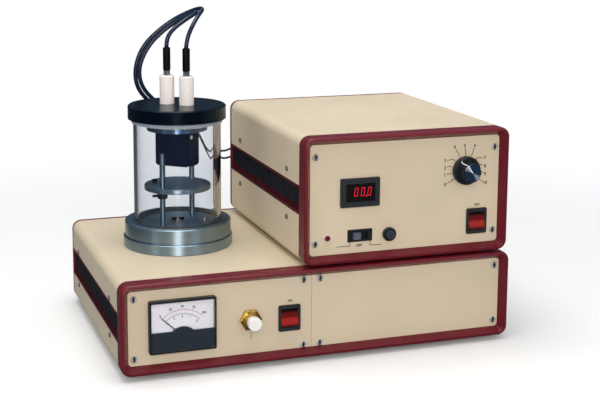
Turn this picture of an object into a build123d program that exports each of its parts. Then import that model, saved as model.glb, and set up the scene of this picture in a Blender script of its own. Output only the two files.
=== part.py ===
from build123d import *
from dataclasses import dataclass
from math import atan, cos, degrees, pi, radians, sin, tan
import os

# Bench coater: a glass vacuum chamber and a narrower power supply case, side by
# side on the top of a wide case that holds the vacuum fittings and the gauge.
# Millimetres, +Z up, origin in the middle of the footprint, front towards -Y.

# Cases
LOWER_WIDTH = 494.0
LOWER_HEIGHT = 109.0
LOWER_DEPTH = 332.0
UPPER_WIDTH = 269.0
UPPER_HEIGHT = 155.0
UPPER_SIDE_GAP = 4.5
UPPER_BACK_GAP = 16.0
CASE_CORNER = 12.0
SHEET = 1.5
BEZEL_DEPTH = 21.0
REAR_BEZEL_DEPTH = 10.0
RIDGE_INSET = 4.3
BEZEL_ROUND = 4.0
PANEL_RECESS = 10.0
REAR_RECESS = 2.0
PANEL_INSET = 5.4
PANEL_THICK = 3.0
PANEL_GAP = 0.3
CORNER_EASE = 2.0
LEDGE = 4.0
FIT_GAP = 0.2
LOWER_FOOT = 6.0
UPPER_FOOT = 3.0
FOOT_RADIUS = 9.0
FOOT_EDGE = 30.0
FOOT_STUD = 2.5
FOOT_TAPER = 12.0
VENT_PITCH = 14.0
VENT_COUNT = 9
VENT_LENGTH = 90.0
VENT_WIDTH = 4.0
KNOB_REACH = 12.0
REAR_REACH = 26.0

# Side rails, each a channel with lips and tongues behind the covers
CHANNEL_HEIGHT = 36.0
CHANNEL_DEPTH = 4.0
CHANNEL_WEB = 2.0
CHANNEL_LIP = 3.5
STRIP_THICK = 1.5
TONGUE_THICK = 2.5
TONGUE_MARGIN = 5.0

# Screws
PANEL_SCREW_HEAD = 4.1
PANEL_SCREW_SHANK = 2.0
COVER_SCREW_HEAD = 3.2
COVER_SCREW_SHANK = 1.5
SCREW_HEAD_RISE = 1.8
SCREW_SLOT = 0.9
PANEL_SCREW_LENGTH = 9.0
COVER_SCREW_LENGTH = 6.0
BOSS_WALL = 1.5
SCREW_PLAY = 0.2
THREAD_PLAY = 0.05
LOWER_SCREW_REACH = 4.5
UPPER_SCREW_REACH = 12.0
SCREW_FROM_FRONT = 65.0
SCREW_FROM_REAR = 54.0
PANEL_SCREW_X = 12.3
LOWER_PANEL_SCREW_Z = 14.5
UPPER_PANEL_SCREW_Z = 20.5
SEAM_FROM_SIDE = 233.5
SEAM_SCREW_X = 10.5
SEAM_SCREW_Z = 10.0
SEAM_GAP = 0.4

# Analog meter
METER_SPOT = (73.4, 0.5)
METER_WIDTH = 80.0
METER_HEIGHT = 63.0
METER_RISE = 8.0
METER_WALL = 2.2
METER_BARREL = 26.0
METER_BARREL_DEPTH = 38.0
METER_DIAL = 1.0
METER_PIVOT_DROP = 12.5
NEEDLE_LENGTH = 33.0
NEEDLE_TAIL = 7.0
NEEDLE_REST = 48.0
WINDOW_THICK = 1.5
METER_MOVEMENT = 12.0
NEEDLE_PIN = 1.2
NEEDLE_HUB = 3.0
NEEDLE_ROOT = 1.0
NEEDLE_TIP = 0.35
NEEDLE_THICK = 0.8
NEEDLE_LIFT = 0.8

# Gas leak valve
LEAK_SPOT = (156.5, -2.5)
LEAK_NUT = 13.6
LEAK_NUT_THICK = 6.0
LEAK_COLLAR = 10.5
LEAK_COLLAR_LENGTH = 3.0
LEAK_BODY = 11.0
LEAK_BODY_LENGTH = 34.0
LEAK_SPINDLE = 3.0
LEAK_KNOB = 8.2
LEAK_NECK = 6.6
LEAK_BEVEL = 0.8
LEAK_NUT_BEVEL = 1.0
LEAK_NECK_LENGTH = 5.0
SPINDLE_PLAY = 0.05
KNURL_COUNT = 16
KNURL_CUT = 0.6
KNURL_LENGTH = 5.0

# Rocker switches
ROCKER_WIDTH = 27.6
ROCKER_HEIGHT = 32.2
ROCKER_FRAME = 2.0
ROCKER_BODY_DEPTH = 24.0
ROCKER_WALL = 4.6
ROCKER_SIDE_WALL = 3.2
ROCKER_AXLE = 1.5
ROCKER_AXLE_BACK = 3.0
ROCKER_WELL = 11.0
ROCKER_TAG = 6.0
ROCKER_TAG_WIDTH = 5.0
ROCKER_TAG_THICK = 1.0
ROCKER_CORNER = 2.0
ROCKER_PLAY = 1.9
ROCKER_CREST = 5.0
ROCKER_PRESSED = 3.6
ROCKER_RAISED = 7.4
ROCKER_HEEL = 0.6
LOWER_ROCKER_SPOT = (205.2, -5.3)
UPPER_ROCKER_SPOT = (229.9, -39.8)

# Power supply instruments
DISPLAY_SPOT = (73.3, 7.1)
DISPLAY_WIDTH = 50.5
DISPLAY_HEIGHT = 35.3
DISPLAY_RISE = 4.0
DISPLAY_BORDER = 6.5
DISPLAY_BODY_DEPTH = 42.0
DISPLAY_FLANGE = 4.0
DISPLAY_CORNER = 1.5
MODE_SPOT = (74.0, -46.1)
MODE_WIDTH = 31.5
MODE_HEIGHT = 15.0
MODE_RISE = 1.5
MODE_SLOT_HALF = 10.0
MODE_TAB = 9.0
MODE_TRAVEL = 5.0
MODE_TAB_REACH = 4.0
MODE_FLANGE = 4.0
MODE_BODY_DEPTH = 14.0
MODE_SLOT_HEIGHT = 8.5
MODE_WELL = 4.0
MODE_RIB = 0.7
BUTTON_SPOT = (112.1, -47.4)
BUTTON_BUSH = 8.4
BUTTON_CAP = 5.5
BUTTON_RISE = 5.0
BUTTON_TRAVEL = 2.0
BUTTON_THREAD = 7.4
BUTTON_BODY_START = 12.0
BUTTON_GUIDE = 6.0
BUTTON_BEVEL = 1.0
LAMP_SPOT = (32.0, -46.6)
LAMP_BEZEL = 5.3
LAMP_LENS = 3.45
LAMP_RISE = 2.0
LAMP_BACK = 8.0
KNOB_SPOT = (213.1, 25.3)
KNOB_SKIRT = 17.6
KNOB_SKIRT_HEIGHT = 8.0
KNOB_BARREL = 12.2
KNOB_LENGTH = 21.0
KNOB_CAP = 11.0
KNOB_SHAFT = 4.0
KNOB_CLEAR = 0.6
KNOB_FLUTE = 1.6
KNOB_FLUTES = 18
KNOB_CAP_THICK = 1.5
KNOB_SHAFT_LENGTH = 26.0
VARIAC_RADIUS = 38.0
VARIAC_LENGTH = 48.0
VARIAC_HUB = 10.0
VARIAC_BEVEL = 4.0

# Rear fittings and what stands inside the cases
INLET_X = 60.0
INLET_WIDTH = 50.0
INLET_HEIGHT = 34.0
INLET_FLANGE = 6.0
INLET_RISE = 2.5
INLET_BODY_DEPTH = 26.0
INLET_SOCKET_WIDTH = 27.0
INLET_SOCKET_HEIGHT = 18.0
INLET_SOCKET_DEPTH = 17.0
INLET_CORNER = 2.0
INLET_PIN_WIDTH = 2.0
INLET_PIN_HEIGHT = 4.0
INLET_PIN_SPREAD = 7.0
INLET_PIN_SHORT = 3.0
# Each coil: its place from the middle of its case and the height of its core
LOWER_COIL = (-30.0, 97.0, 58.0)
UPPER_COIL = (42.0, 45.0, 96.0)
CORE_WIDTH = 1.2
CORE_THICK = 0.55
WINDING_WIDTH = 0.84
WINDING_HEIGHT = 0.64
# Each board: its place from the middle of its case, its width and its depth
LOWER_BOARD = (100.0, 27.0, 150.0, 110.0)
UPPER_BOARD = (-76.0, 55.0, 84.0, 130.0)
BOARD_RISE = 8.0
BOARD_THICK = 1.6
PILLAR_RADIUS = 2.5
PILLAR_INSET = 5.0
CHIP_SIZE = (12.0, 16.0, 12.0)
CAPACITOR_RADIUS = 8.0
CAPACITOR_HEIGHT = 22.0
HOSE_DROP = 2.5
HOSE_PIPE = 12.5
HOSE_BORE = 10.0
HOSE_SHOULDER = 4.0
HOSE_RIM = 3.5
MANIFOLD_FLANGE = 20.0
MANIFOLD_FLANGE_THICK = 6.0
GAUGE_BACK = 60.0
GAUGE_RADIUS = 11.0
GAUGE_LENGTH = 42.0
GAUGE_COLLAR = 3.0
GAS_BEND = 14.0
GAS_TUBE = 3.0

# Chamber
CHAMBER_FROM_SIDE = 109.7
CHAMBER_BACK = 171.0
RING_RADIUS = 69.0
RING_HEIGHT = 13.0
COLLAR_RADIUS = 67.0
COLLAR_HEIGHT = 19.0
GROOVE = 1.6
SEAT_RADIUS = 57.4
SEAT_DEPTH = 3.0
GLASS_RADIUS = 55.0
GLASS_WALL = 4.0
GLASS_HEIGHT = 129.0
SEAL_FLOOR = 2.0
SEAL_WALL = 1.9
SEAL_STAND = 3.0
SEAL_LAP = 1.0
RING_BEVEL = 0.8
LID_BEVEL = 1.5
LID_RADIUS = 61.6
LID_HEIGHT = 17.0
SPIGOT_RADIUS = 45.0
SPIGOT_HEIGHT = 8.0
PORT_RADIUS = 9.6
PORT_WALL = 2.4
THROAT_PLAY = 1.0
THROAT_DROP = 22.0
INLET_OFFSET = (33.0, -8.0)
INLET_RADIUS = 3.0
PORT_COVER = 1.0
PORT_COVER_LAP = 1.5

# Specimen stage on two posts
STAGE_RADIUS = 42.0
STAGE_THICK = 6.0
STAGE_RISE = 48.6
POST_OFFSET = (24.5, 22.0)
POST_RADIUS = 3.5
FRONT_POST_HEIGHT = 92.0
REAR_POST_HEIGHT = 74.0
POST_BORE_PLAY = 0.08
STAGE_BEVEL = 0.6
CLAMP_RADIUS = 6.2
CLAMP_HEIGHT = 7.0
CLAMP_SCREW = 1.8
CLAMP_SCREW_LENGTH = 7.0
POST_SEAT = 8.0
POST_BEVEL = 0.5

# Evaporation head under the lid, turned about the chamber axis
HEAD_TURN = -41.0
SHIELD_WIDTH = 47.0
SHIELD_DEPTH = 28.0
SHIELD_DROP = 49.0
SHIELD_WALL = 1.6
SHIELD_CORNER = 5.0
FLANGE_RADIUS = 32.0
FLANGE_THICK = 3.0
ELECTRODE_SPACING = 27.4
ELECTRODE_RADIUS = 3.5
ELECTRODE_DROP = 40.0
INSULATOR_RADIUS = 9.2
INSULATOR_HEIGHT = 36.0
STUD_RADIUS = 4.6
STUD_HEIGHT = 6.0
BOOT_RADIUS = 4.9
BOOT_HEIGHT = 29.0
ROD_RADIUS = 1.55
ROD_TIP = 4.0
ROD_DROP = 30.0
ROD_CLAMP = 4.0
SLEEVE_RADIUS = 6.0
INSULATOR_BEVEL = 1.2
BOOT_STRAIGHT = 0.6
BOOT_TAPER = 8.0

# Leads
LEAD_RADIUS = 2.7
THIN_LEAD_RADIUS = 1.4
GLAND_RADIUS = 6.0
GLAND_LENGTH = 11.0
GLAND_STEM = 4.5
GLAND_CAP = 0.8
GLAND_TAPER = 10.0
GLAND_SPOTS = ((34.5, 8.5), (34.5, -7.5))
RADIUS_SHARE = 0.45
# Each route as a list of points chosen by hand, from the boot or the join to the far end
HEAD_ROUTES = (
    (
        (-147.6, 7.0, 365.0), (-147.6, 7.0, 376.0), (-137.0, 9.5, 389.5), (-119.5, 16.0, 399.5),
        (-103.0, 29.0, 405.5), (-101.0, 46.0, 403.0), (-114.0, 58.0, 392.0), (-134.5, 63.0, 376.5),
        (-154.0, 65.0, 357.5), (-165.5, 66.0, 334.5), (-163.5, 67.5, 313.0), (-150.5, 70.0, 294.5),
        (-131.0, 72.5, 277.5), (-109.5, 74.5, 263.0),
    ),
    (
        (-127.0, -11.0, 365.0), (-127.0, -11.0, 376.5), (-121.0, -7.0, 393.0), (-109.0, 3.0, 405.5),
        (-95.5, 21.0, 411.0), (-94.0, 42.0, 410.5), (-102.0, 59.0, 405.5), (-120.0, 68.5, 395.5),
        (-143.0, 71.0, 379.5), (-163.0, 71.5, 359.5), (-173.0, 71.5, 334.0), (-170.0, 73.0, 309.5),
        (-155.0, 76.0, 290.0), (-134.0, 78.5, 272.5), (-112.0, 80.5, 258.0),
    ),
)
SUPPLY_ROUTES = (
    (
        (-109.5, 74.5, 263.0), (-96.6, 75.7, 254.3), (-81.0, 83.0, 236.0), (-66.0, 95.0, 219.0),
        (-48.5, 115.5, 208.5), (-37.0, 139.0, 204.5), (-27.0, 163.0, 203.5), (-11.0, 176.5, 203.5),
        (4.0, 173.5, 204.0), (8.0, 160.0, 204.0), (8.0, 152.0, 204.0),
    ),
    (
        (-112.0, 80.5, 258.0), (-98.8, 81.7, 249.3), (-84.5, 90.0, 230.0), (-69.0, 101.0, 211.0),
        (-49.5, 120.0, 198.5), (-37.5, 142.0, 192.5), (-27.0, 163.0, 189.0), (-11.0, 176.0, 188.0),
        (4.0, 173.5, 188.0), (8.0, 160.0, 188.0), (8.0, 152.0, 188.0),
    ),
)


@dataclass
class Case:
    """One instrument case: its middle in X, its underside and its outer size."""

    name: str
    x: float
    base: float
    width: float
    height: float
    depth: float
    screw_reach: float

    @property
    def mid(self):
        return self.base + self.height / 2

    @property
    def top(self):
        return self.base + self.height

    @property
    def back(self):
        return FRONT + self.depth

    def spot(self, from_side, raised):
        """X and Z of a place, from the case's left side and from its middle height."""
        return self.x - self.width / 2 + from_side, self.mid + raised


FRONT = -(KNOB_REACH + LOWER_DEPTH + REAR_REACH) / 2 + KNOB_REACH
LOWER = Case("lower", 0.0, LOWER_FOOT, LOWER_WIDTH, LOWER_HEIGHT, LOWER_DEPTH, LOWER_SCREW_REACH)
UPPER = Case(
    "upper", (LOWER_WIDTH - UPPER_WIDTH) / 2 - UPPER_SIDE_GAP, LOWER.top + UPPER_FOOT,
    UPPER_WIDTH, UPPER_HEIGHT, LOWER_DEPTH - UPPER_BACK_GAP, UPPER_SCREW_REACH,
)
CASES = (LOWER, UPPER)
METER_X, METER_Z = LOWER.spot(*METER_SPOT)
LEAK_X, LEAK_Z = LOWER.spot(*LEAK_SPOT)
DISPLAY_X, DISPLAY_Z = UPPER.spot(*DISPLAY_SPOT)
MODE_X, MODE_Z = UPPER.spot(*MODE_SPOT)
BUTTON_X, BUTTON_Z = UPPER.spot(*BUTTON_SPOT)
LAMP_X, LAMP_Z = UPPER.spot(*LAMP_SPOT)
KNOB_X, KNOB_Z = UPPER.spot(*KNOB_SPOT)
ROCKERS = {"lower": LOWER.spot(*LOWER_ROCKER_SPOT), "upper": UPPER.spot(*UPPER_ROCKER_SPOT)}
SEAM_X = LOWER.x - LOWER.width / 2 + SEAM_FROM_SIDE
GLANDS = [UPPER.spot(*place) for place in GLAND_SPOTS]
HOSE_Z = LOWER.mid - HOSE_DROP
PANEL_FACE = FRONT + PANEL_RECESS
PANEL_BACK = PANEL_FACE + PANEL_THICK
PANEL_MARGIN = RIDGE_INSET + PANEL_INSET
CHAMBER_X = LOWER.x - LOWER.width / 2 + CHAMBER_FROM_SIDE
CHAMBER_Y = FRONT + CHAMBER_BACK
DECK = LOWER.top
COLLAR_TOP = DECK + RING_HEIGHT + COLLAR_HEIGHT
CHAMBER_FLOOR = COLLAR_TOP - SEAT_DEPTH
STAGE_TOP = CHAMBER_FLOOR + STAGE_RISE
GLASS_FOOT = CHAMBER_FLOOR + SEAL_FLOOR
GLASS_TOP = GLASS_FOOT + GLASS_HEIGHT
LID_BASE = GLASS_TOP + SEAL_FLOOR
LID_TOP = LID_BASE + LID_HEIGHT
SPIGOT_BASE = LID_BASE - SPIGOT_HEIGHT
ROD_HEIGHT = SPIGOT_BASE - ROD_DROP
ELECTRODES = ((-ELECTRODE_SPACING / 2, 0), (ELECTRODE_SPACING / 2, 0))
POSTS = [
    (CHAMBER_X + side * POST_OFFSET[0], CHAMBER_Y + side * POST_OFFSET[1]) for side in (-1, 1)
]
HEAD = Plane(
    origin=(CHAMBER_X, CHAMBER_Y, 0),
    x_dir=(cos(radians(HEAD_TURN)), sin(radians(HEAD_TURN)), 0),
    z_dir=(0, 0, 1),
)


def facing_front(y, x=0.0, z=0.0):
    """A plane seen from the front: local x is X, local y is Z, its normal points at -Y."""
    return Plane(origin=(x, y, z), x_dir=(1, 0, 0), z_dir=(0, -1, 0))


def facing_back(y, x=0.0, z=0.0):
    """A plane seen from behind: local x is -X, local y is Z, its normal points at +Y."""
    return Plane(origin=(x, y, z), x_dir=(-1, 0, 0), z_dir=(0, 1, 0))


def finish(piece, label):
    """Name a finished piece and write it."""
    piece.label = label
    export_step(piece, f"parts/{label}.step")
    return piece


os.makedirs("parts", exist_ok=True)
PANEL_CORNER = CASE_CORNER - PANEL_MARGIN + CORNER_EASE


def panel_size(case):
    """Outer size of the panel that drops into a case's bezel."""
    trim = 2 * (PANEL_MARGIN + PANEL_GAP)
    return case.width - trim, case.height - trim


def corner_points(case, drop):
    """Screws at the four corners of a panel, from the middle of the case."""
    x = case.width / 2 - RIDGE_INSET - PANEL_SCREW_X
    z = case.height / 2 - RIDGE_INSET - drop
    return [(-x, z), (-x, -z), (x, z), (x, -z)]


def seam_points(case):
    """Screws on both sides of the seam between the control panel and the blank one."""
    z = case.height / 2 - RIDGE_INSET - SEAM_SCREW_Z
    return [(SEAM_X + side * SEAM_SCREW_X, up * z) for side in (-1, 1) for up in (1, -1)]


FRONT_SCREWS = {
    "lower": corner_points(LOWER, LOWER_PANEL_SCREW_Z) + seam_points(LOWER),
    "upper": corner_points(UPPER, UPPER_PANEL_SCREW_Z),
}
REAR_SCREWS = {case.name: corner_points(case, LOWER_PANEL_SCREW_Z) for case in CASES}


def bezel(plane, case, depth, recess, sloped, screws, mullion=None):
    """Moulded end frame: rounded outside, a lip, a ledge and screw bosses for its panel."""
    inner_width, inner_height = panel_size(case)
    face = 0 if plane.z_dir.Y < 0 else -1
    with BuildPart() as frame:
        with BuildSketch(plane):
            RectangleRounded(case.width, case.height, CASE_CORNER)
        extrude(amount=-depth)
        fillet(frame.faces().sort_by(Axis.Y)[face].edges(), BEZEL_ROUND)
        if sloped:
            with BuildSketch(plane):
                ridge = 2 * RIDGE_INSET
                RectangleRounded(case.width - ridge, case.height - ridge, CASE_CORNER - RIDGE_INSET)
            extrude(amount=-recess, taper=degrees(atan(PANEL_INSET / recess)), mode=Mode.SUBTRACT)
        with BuildSketch(plane):
            RectangleRounded(inner_width + 2 * PANEL_GAP, inner_height + 2 * PANEL_GAP, PANEL_CORNER)
        extrude(amount=-(recess + PANEL_THICK), mode=Mode.SUBTRACT)
        with BuildSketch(plane):
            RectangleRounded(inner_width - 2 * LEDGE, inner_height - 2 * LEDGE, PANEL_CORNER)
            with Locations(*screws):
                Circle(PANEL_SCREW_HEAD + BOSS_WALL, mode=Mode.SUBTRACT)
            if mullion:
                with Locations((mullion, 0)):
                    Rectangle(2 * (SEAM_SCREW_X + PANEL_SCREW_HEAD), case.height, mode=Mode.SUBTRACT)
        extrude(amount=-depth, mode=Mode.SUBTRACT)
        with BuildSketch(plane):
            with Locations(*screws):
                Circle(PANEL_SCREW_SHANK + THREAD_PLAY)
        extrude(amount=-depth, mode=Mode.SUBTRACT)
    return frame.part


def cover_length(case):
    return case.depth - BEZEL_DEPTH - REAR_BEZEL_DEPTH


def cover_screw_points(case):
    """Cover screws on a side, as Y and Z."""
    rise = CHANNEL_HEIGHT / 2 + case.screw_reach
    rows = (FRONT + SCREW_FROM_FRONT, case.back - SCREW_FROM_REAR)
    return [(y, case.mid + up * rise) for y in rows for up in (1, -1)]


def foot_points(case):
    x = case.width / 2 - FOOT_EDGE
    rows = (FRONT + FOOT_EDGE, case.back - FOOT_EDGE)
    return [(case.x + side * x, y) for side in (-1, 1) for y in rows]


def across(x):
    """A plane across the case: local x is Y, local y is Z, its normal points at +X."""
    return Plane(origin=(x, 0, 0), x_dir=(0, 1, 0), z_dir=(1, 0, 0))


def cover(case, is_top):
    """Folded sheet over or under the case, from one side rail to the other."""
    edge = CHANNEL_HEIGHT / 2
    away = (Align.CENTER, Align.MAX if is_top else Align.MIN)
    with BuildPart() as shell:
        with BuildSketch(facing_front(FRONT + BEZEL_DEPTH, case.x, case.mid)):
            RectangleRounded(case.width, case.height, CASE_CORNER)
            inside = 2 * SHEET
            RectangleRounded(
                case.width - inside, case.height - inside, CASE_CORNER - SHEET, mode=Mode.SUBTRACT
            )
            with Locations((0, edge if is_top else -edge)):
                Rectangle(2 * case.width, 2 * case.height, align=away, mode=Mode.SUBTRACT)
        extrude(amount=-cover_length(case))
        with BuildSketch(across(case.x)):
            with Locations(*cover_screw_points(case)):
                Circle(COVER_SCREW_SHANK + SCREW_PLAY)
        extrude(amount=case.width, both=True, mode=Mode.SUBTRACT)
        if case is LOWER and is_top:
            with BuildSketch(Plane.XY.offset(case.top)):
                with Locations((CHAMBER_X, CHAMBER_Y)):
                    Circle(PORT_RADIUS + PORT_WALL + THROAT_PLAY)
            extrude(amount=-2 * SHEET, mode=Mode.SUBTRACT)
        if not is_top:
            with BuildSketch(Plane.XY.offset(case.base)):
                with Locations((case.x, FRONT + case.depth / 2)):
                    with GridLocations(VENT_PITCH, 1, VENT_COUNT, 1):
                        SlotOverall(VENT_LENGTH, VENT_WIDTH, rotation=90)
                with Locations(*foot_points(case)):
                    Circle(FOOT_STUD + SCREW_PLAY)
            extrude(amount=2 * SHEET, mode=Mode.SUBTRACT)
    return shell.part


def rail_section(case, side):
    """Section of a side rail: web, two lips and two tongues, drawn from the middle of the case."""
    half = CHANNEL_HEIGHT / 2
    outer = case.width / 2
    tongue = case.screw_reach + TONGUE_MARGIN + CHANNEL_LIP
    with Locations((side * (outer - CHANNEL_DEPTH - CHANNEL_WEB / 2), 0)):
        Rectangle(CHANNEL_WEB, CHANNEL_HEIGHT)
    for up in (1, -1):
        with Locations((side * (outer - CHANNEL_DEPTH / 2), up * (half - CHANNEL_LIP / 2))):
            Rectangle(CHANNEL_DEPTH, CHANNEL_LIP)
        shift = half - CHANNEL_LIP + tongue / 2
        with Locations((side * (outer - SHEET - FIT_GAP - TONGUE_THICK / 2), up * shift)):
            Rectangle(TONGUE_THICK, tongue)


def screw(head, shank, length):
    """A slotted pan head screw, its head above the XY plane and its shank below."""
    with BuildPart() as fastener:
        Cylinder(head, SCREW_HEAD_RISE, align=(Align.CENTER, Align.CENTER, Align.MIN))
        chamfer(fastener.faces().sort_by(Axis.Z)[-1].edges(), SCREW_HEAD_RISE / 3)
        with Locations((0, 0, SCREW_HEAD_RISE)):
            Box(
                2 * head, SCREW_SLOT, SCREW_SLOT,
                align=(Align.CENTER, Align.CENTER, Align.MAX), mode=Mode.SUBTRACT,
            )
        Cylinder(shank, length, align=(Align.CENTER, Align.CENTER, Align.MAX))
    return fastener.part


# Cases: bezels, covers and rails
for case in CASES:
    front = facing_front(FRONT, case.x, case.mid)
    seam = SEAM_X if case is LOWER else None
    finish(
        bezel(front, case, BEZEL_DEPTH, PANEL_RECESS, True, FRONT_SCREWS[case.name], seam),
        f"{case.name}_front_bezel",
    )
    finish(cover(case, True), f"{case.name}_top_cover")

with BuildPart() as rear_bezels:
    for case in CASES:
        back = facing_back(case.back, case.x, case.mid)
        add(bezel(back, case, REAR_BEZEL_DEPTH, REAR_RECESS, False, REAR_SCREWS[case.name]))
finish(rear_bezels.part, "rear_bezels")

with BuildPart() as bottom_covers:
    for case in CASES:
        add(cover(case, False))
finish(bottom_covers.part, "bottom_covers")

with BuildPart() as side_rails:
    for case in CASES:
        for side in (-1, 1):
            with BuildSketch(facing_front(FRONT + BEZEL_DEPTH, case.x, case.mid)):
                rail_section(case, side)
            extrude(amount=-cover_length(case))
        with BuildSketch(across(case.x)):
            with Locations(*cover_screw_points(case)):
                Circle(COVER_SCREW_SHANK + THREAD_PLAY)
        extrude(amount=case.width, both=True, mode=Mode.SUBTRACT)
finish(side_rails.part, "side_rails")

with BuildPart() as side_strips:
    for case in CASES:
        for side in (-1, 1):
            with BuildSketch(facing_front(FRONT + BEZEL_DEPTH, case.x, case.mid)):
                with Locations((side * (case.width / 2 - CHANNEL_DEPTH + STRIP_THICK / 2), 0)):
                    Rectangle(STRIP_THICK, CHANNEL_HEIGHT - 2 * (CHANNEL_LIP + FIT_GAP))
            extrude(amount=-cover_length(case))
finish(side_strips.part, "side_strips")

# Screws
panel_screw = screw(PANEL_SCREW_HEAD, PANEL_SCREW_SHANK, PANEL_SCREW_LENGTH)
with BuildPart() as panel_screws:
    for case in CASES:
        for x, z in FRONT_SCREWS[case.name]:
            with Locations(facing_front(PANEL_FACE, case.x + x, case.mid + z)):
                add(panel_screw)
        for x, z in REAR_SCREWS[case.name]:
            with Locations(facing_back(case.back - REAR_RECESS, case.x + x, case.mid + z)):
                add(panel_screw)
finish(panel_screws.part, "panel_screws")

cover_screw = screw(COVER_SCREW_HEAD, COVER_SCREW_SHANK, COVER_SCREW_LENGTH)
with BuildPart() as cover_screws:
    for case in CASES:
        for side in (-1, 1):
            for y, z in cover_screw_points(case):
                spot = (case.x + side * case.width / 2, y, z)
                with Locations(Plane(origin=spot, x_dir=(0, 1, 0), z_dir=(side, 0, 0))):
                    add(cover_screw)
finish(cover_screws.part, "cover_screws")

# Feet, each with a stud through the bottom cover
with BuildPart() as feet:
    for case, height in ((LOWER, LOWER_FOOT), (UPPER, UPPER_FOOT)):
        with BuildSketch(Plane.XY.offset(case.base)):
            with Locations(*foot_points(case)):
                Circle(FOOT_RADIUS)
        extrude(amount=-height, taper=FOOT_TAPER)
        with BuildSketch(Plane.XY.offset(case.base)):
            with Locations(*foot_points(case)):
                Circle(FOOT_STUD)
        extrude(amount=SHEET + FOOT_STUD)
        with BuildSketch(Plane.XY.offset(case.base + SHEET)):
            with Locations(*foot_points(case)):
                Circle(2 * FOOT_STUD)
        extrude(amount=FOOT_STUD)
finish(feet.part, "feet")

# Panels
HALF_FRONT = panel_size(LOWER)[0] / 2
METER_PIVOT_Z = METER_Z - METER_PIVOT_DROP


def panel(plane, case, left, right, screws, thick):
    """A flat panel between two edges, with its screw holes; its front lies on the plane."""
    width, height = panel_size(case)
    with BuildPart() as plate:
        with BuildSketch(plane):
            RectangleRounded(width, height, PANEL_CORNER)
            with Locations(((left + right) / 2, 0)):
                Rectangle(right - left, height, mode=Mode.INTERSECT)
            with Locations(*screws):
                Circle(PANEL_SCREW_SHANK + SCREW_PLAY, mode=Mode.SUBTRACT)
        extrude(amount=-thick)
    return plate.part


with BuildPart() as control_panel:
    add(panel(
        facing_front(PANEL_FACE, LOWER.x, LOWER.mid), LOWER, -HALF_FRONT, SEAM_X - SEAM_GAP / 2,
        FRONT_SCREWS["lower"], PANEL_THICK,
    ))
    with BuildSketch(facing_front(PANEL_FACE)):
        with Locations((METER_X, METER_Z)):
            Circle(METER_BARREL + FIT_GAP)
        with Locations((LEAK_X, LEAK_Z)):
            Circle(LEAK_BODY + FIT_GAP)
        with Locations(ROCKERS["lower"]):
            Rectangle(ROCKER_WIDTH - ROCKER_SIDE_WALL, ROCKER_HEIGHT - ROCKER_WALL)
    extrude(amount=-PANEL_THICK, mode=Mode.SUBTRACT)
finish(control_panel.part, "control_panel")

finish(
    panel(
        facing_front(PANEL_FACE, LOWER.x, LOWER.mid), LOWER, SEAM_X + SEAM_GAP / 2, HALF_FRONT,
        FRONT_SCREWS["lower"], PANEL_THICK,
    ),
    "blank_panel",
)

with BuildPart() as upper_panel:
    half = panel_size(UPPER)[0] / 2
    add(panel(
        facing_front(PANEL_FACE, UPPER.x, UPPER.mid), UPPER, -half, half, FRONT_SCREWS["upper"], PANEL_THICK,
    ))
    with BuildSketch(facing_front(PANEL_FACE)):
        with Locations((DISPLAY_X, DISPLAY_Z)):
            Rectangle(DISPLAY_WIDTH - DISPLAY_FLANGE, DISPLAY_HEIGHT - DISPLAY_FLANGE)
        with Locations((MODE_X, MODE_Z)):
            Rectangle(MODE_WIDTH - MODE_FLANGE, MODE_HEIGHT - MODE_FLANGE)
        with Locations((BUTTON_X, BUTTON_Z)):
            Circle(BUTTON_THREAD + FIT_GAP)
        with Locations((LAMP_X, LAMP_Z)):
            Circle(LAMP_LENS + FIT_GAP)
        with Locations((KNOB_X, KNOB_Z)):
            Circle(KNOB_SHAFT + KNOB_CLEAR)
        with Locations(ROCKERS["upper"]):
            Rectangle(ROCKER_WIDTH - ROCKER_SIDE_WALL, ROCKER_HEIGHT - ROCKER_WALL)
    extrude(amount=-PANEL_THICK, mode=Mode.SUBTRACT)
finish(upper_panel.part, "upper_panel")

with BuildPart() as rear_panels:
    for case in CASES:
        half = panel_size(case)[0] / 2
        face = case.back - REAR_RECESS
        add(panel(
            facing_back(face, case.x, case.mid), case, -half, half, REAR_SCREWS[case.name], PANEL_THICK,
        ))
        with BuildSketch(facing_front(face, case.x + INLET_X, case.mid)):
            Rectangle(INLET_WIDTH - INLET_FLANGE, INLET_HEIGHT - INLET_FLANGE)
        extrude(amount=PANEL_THICK, mode=Mode.SUBTRACT)
    with BuildSketch(facing_front(LOWER.back - REAR_RECESS)):
        with Locations((CHAMBER_X, HOSE_Z)):
            Circle(HOSE_PIPE + FIT_GAP)
    extrude(amount=PANEL_THICK, mode=Mode.SUBTRACT)
    with BuildSketch(facing_front(UPPER.back - REAR_RECESS)):
        with Locations(*GLANDS):
            Circle(GLAND_STEM + FIT_GAP)
    extrude(amount=PANEL_THICK, mode=Mode.SUBTRACT)
finish(rear_panels.part, "rear_panels")

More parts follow.
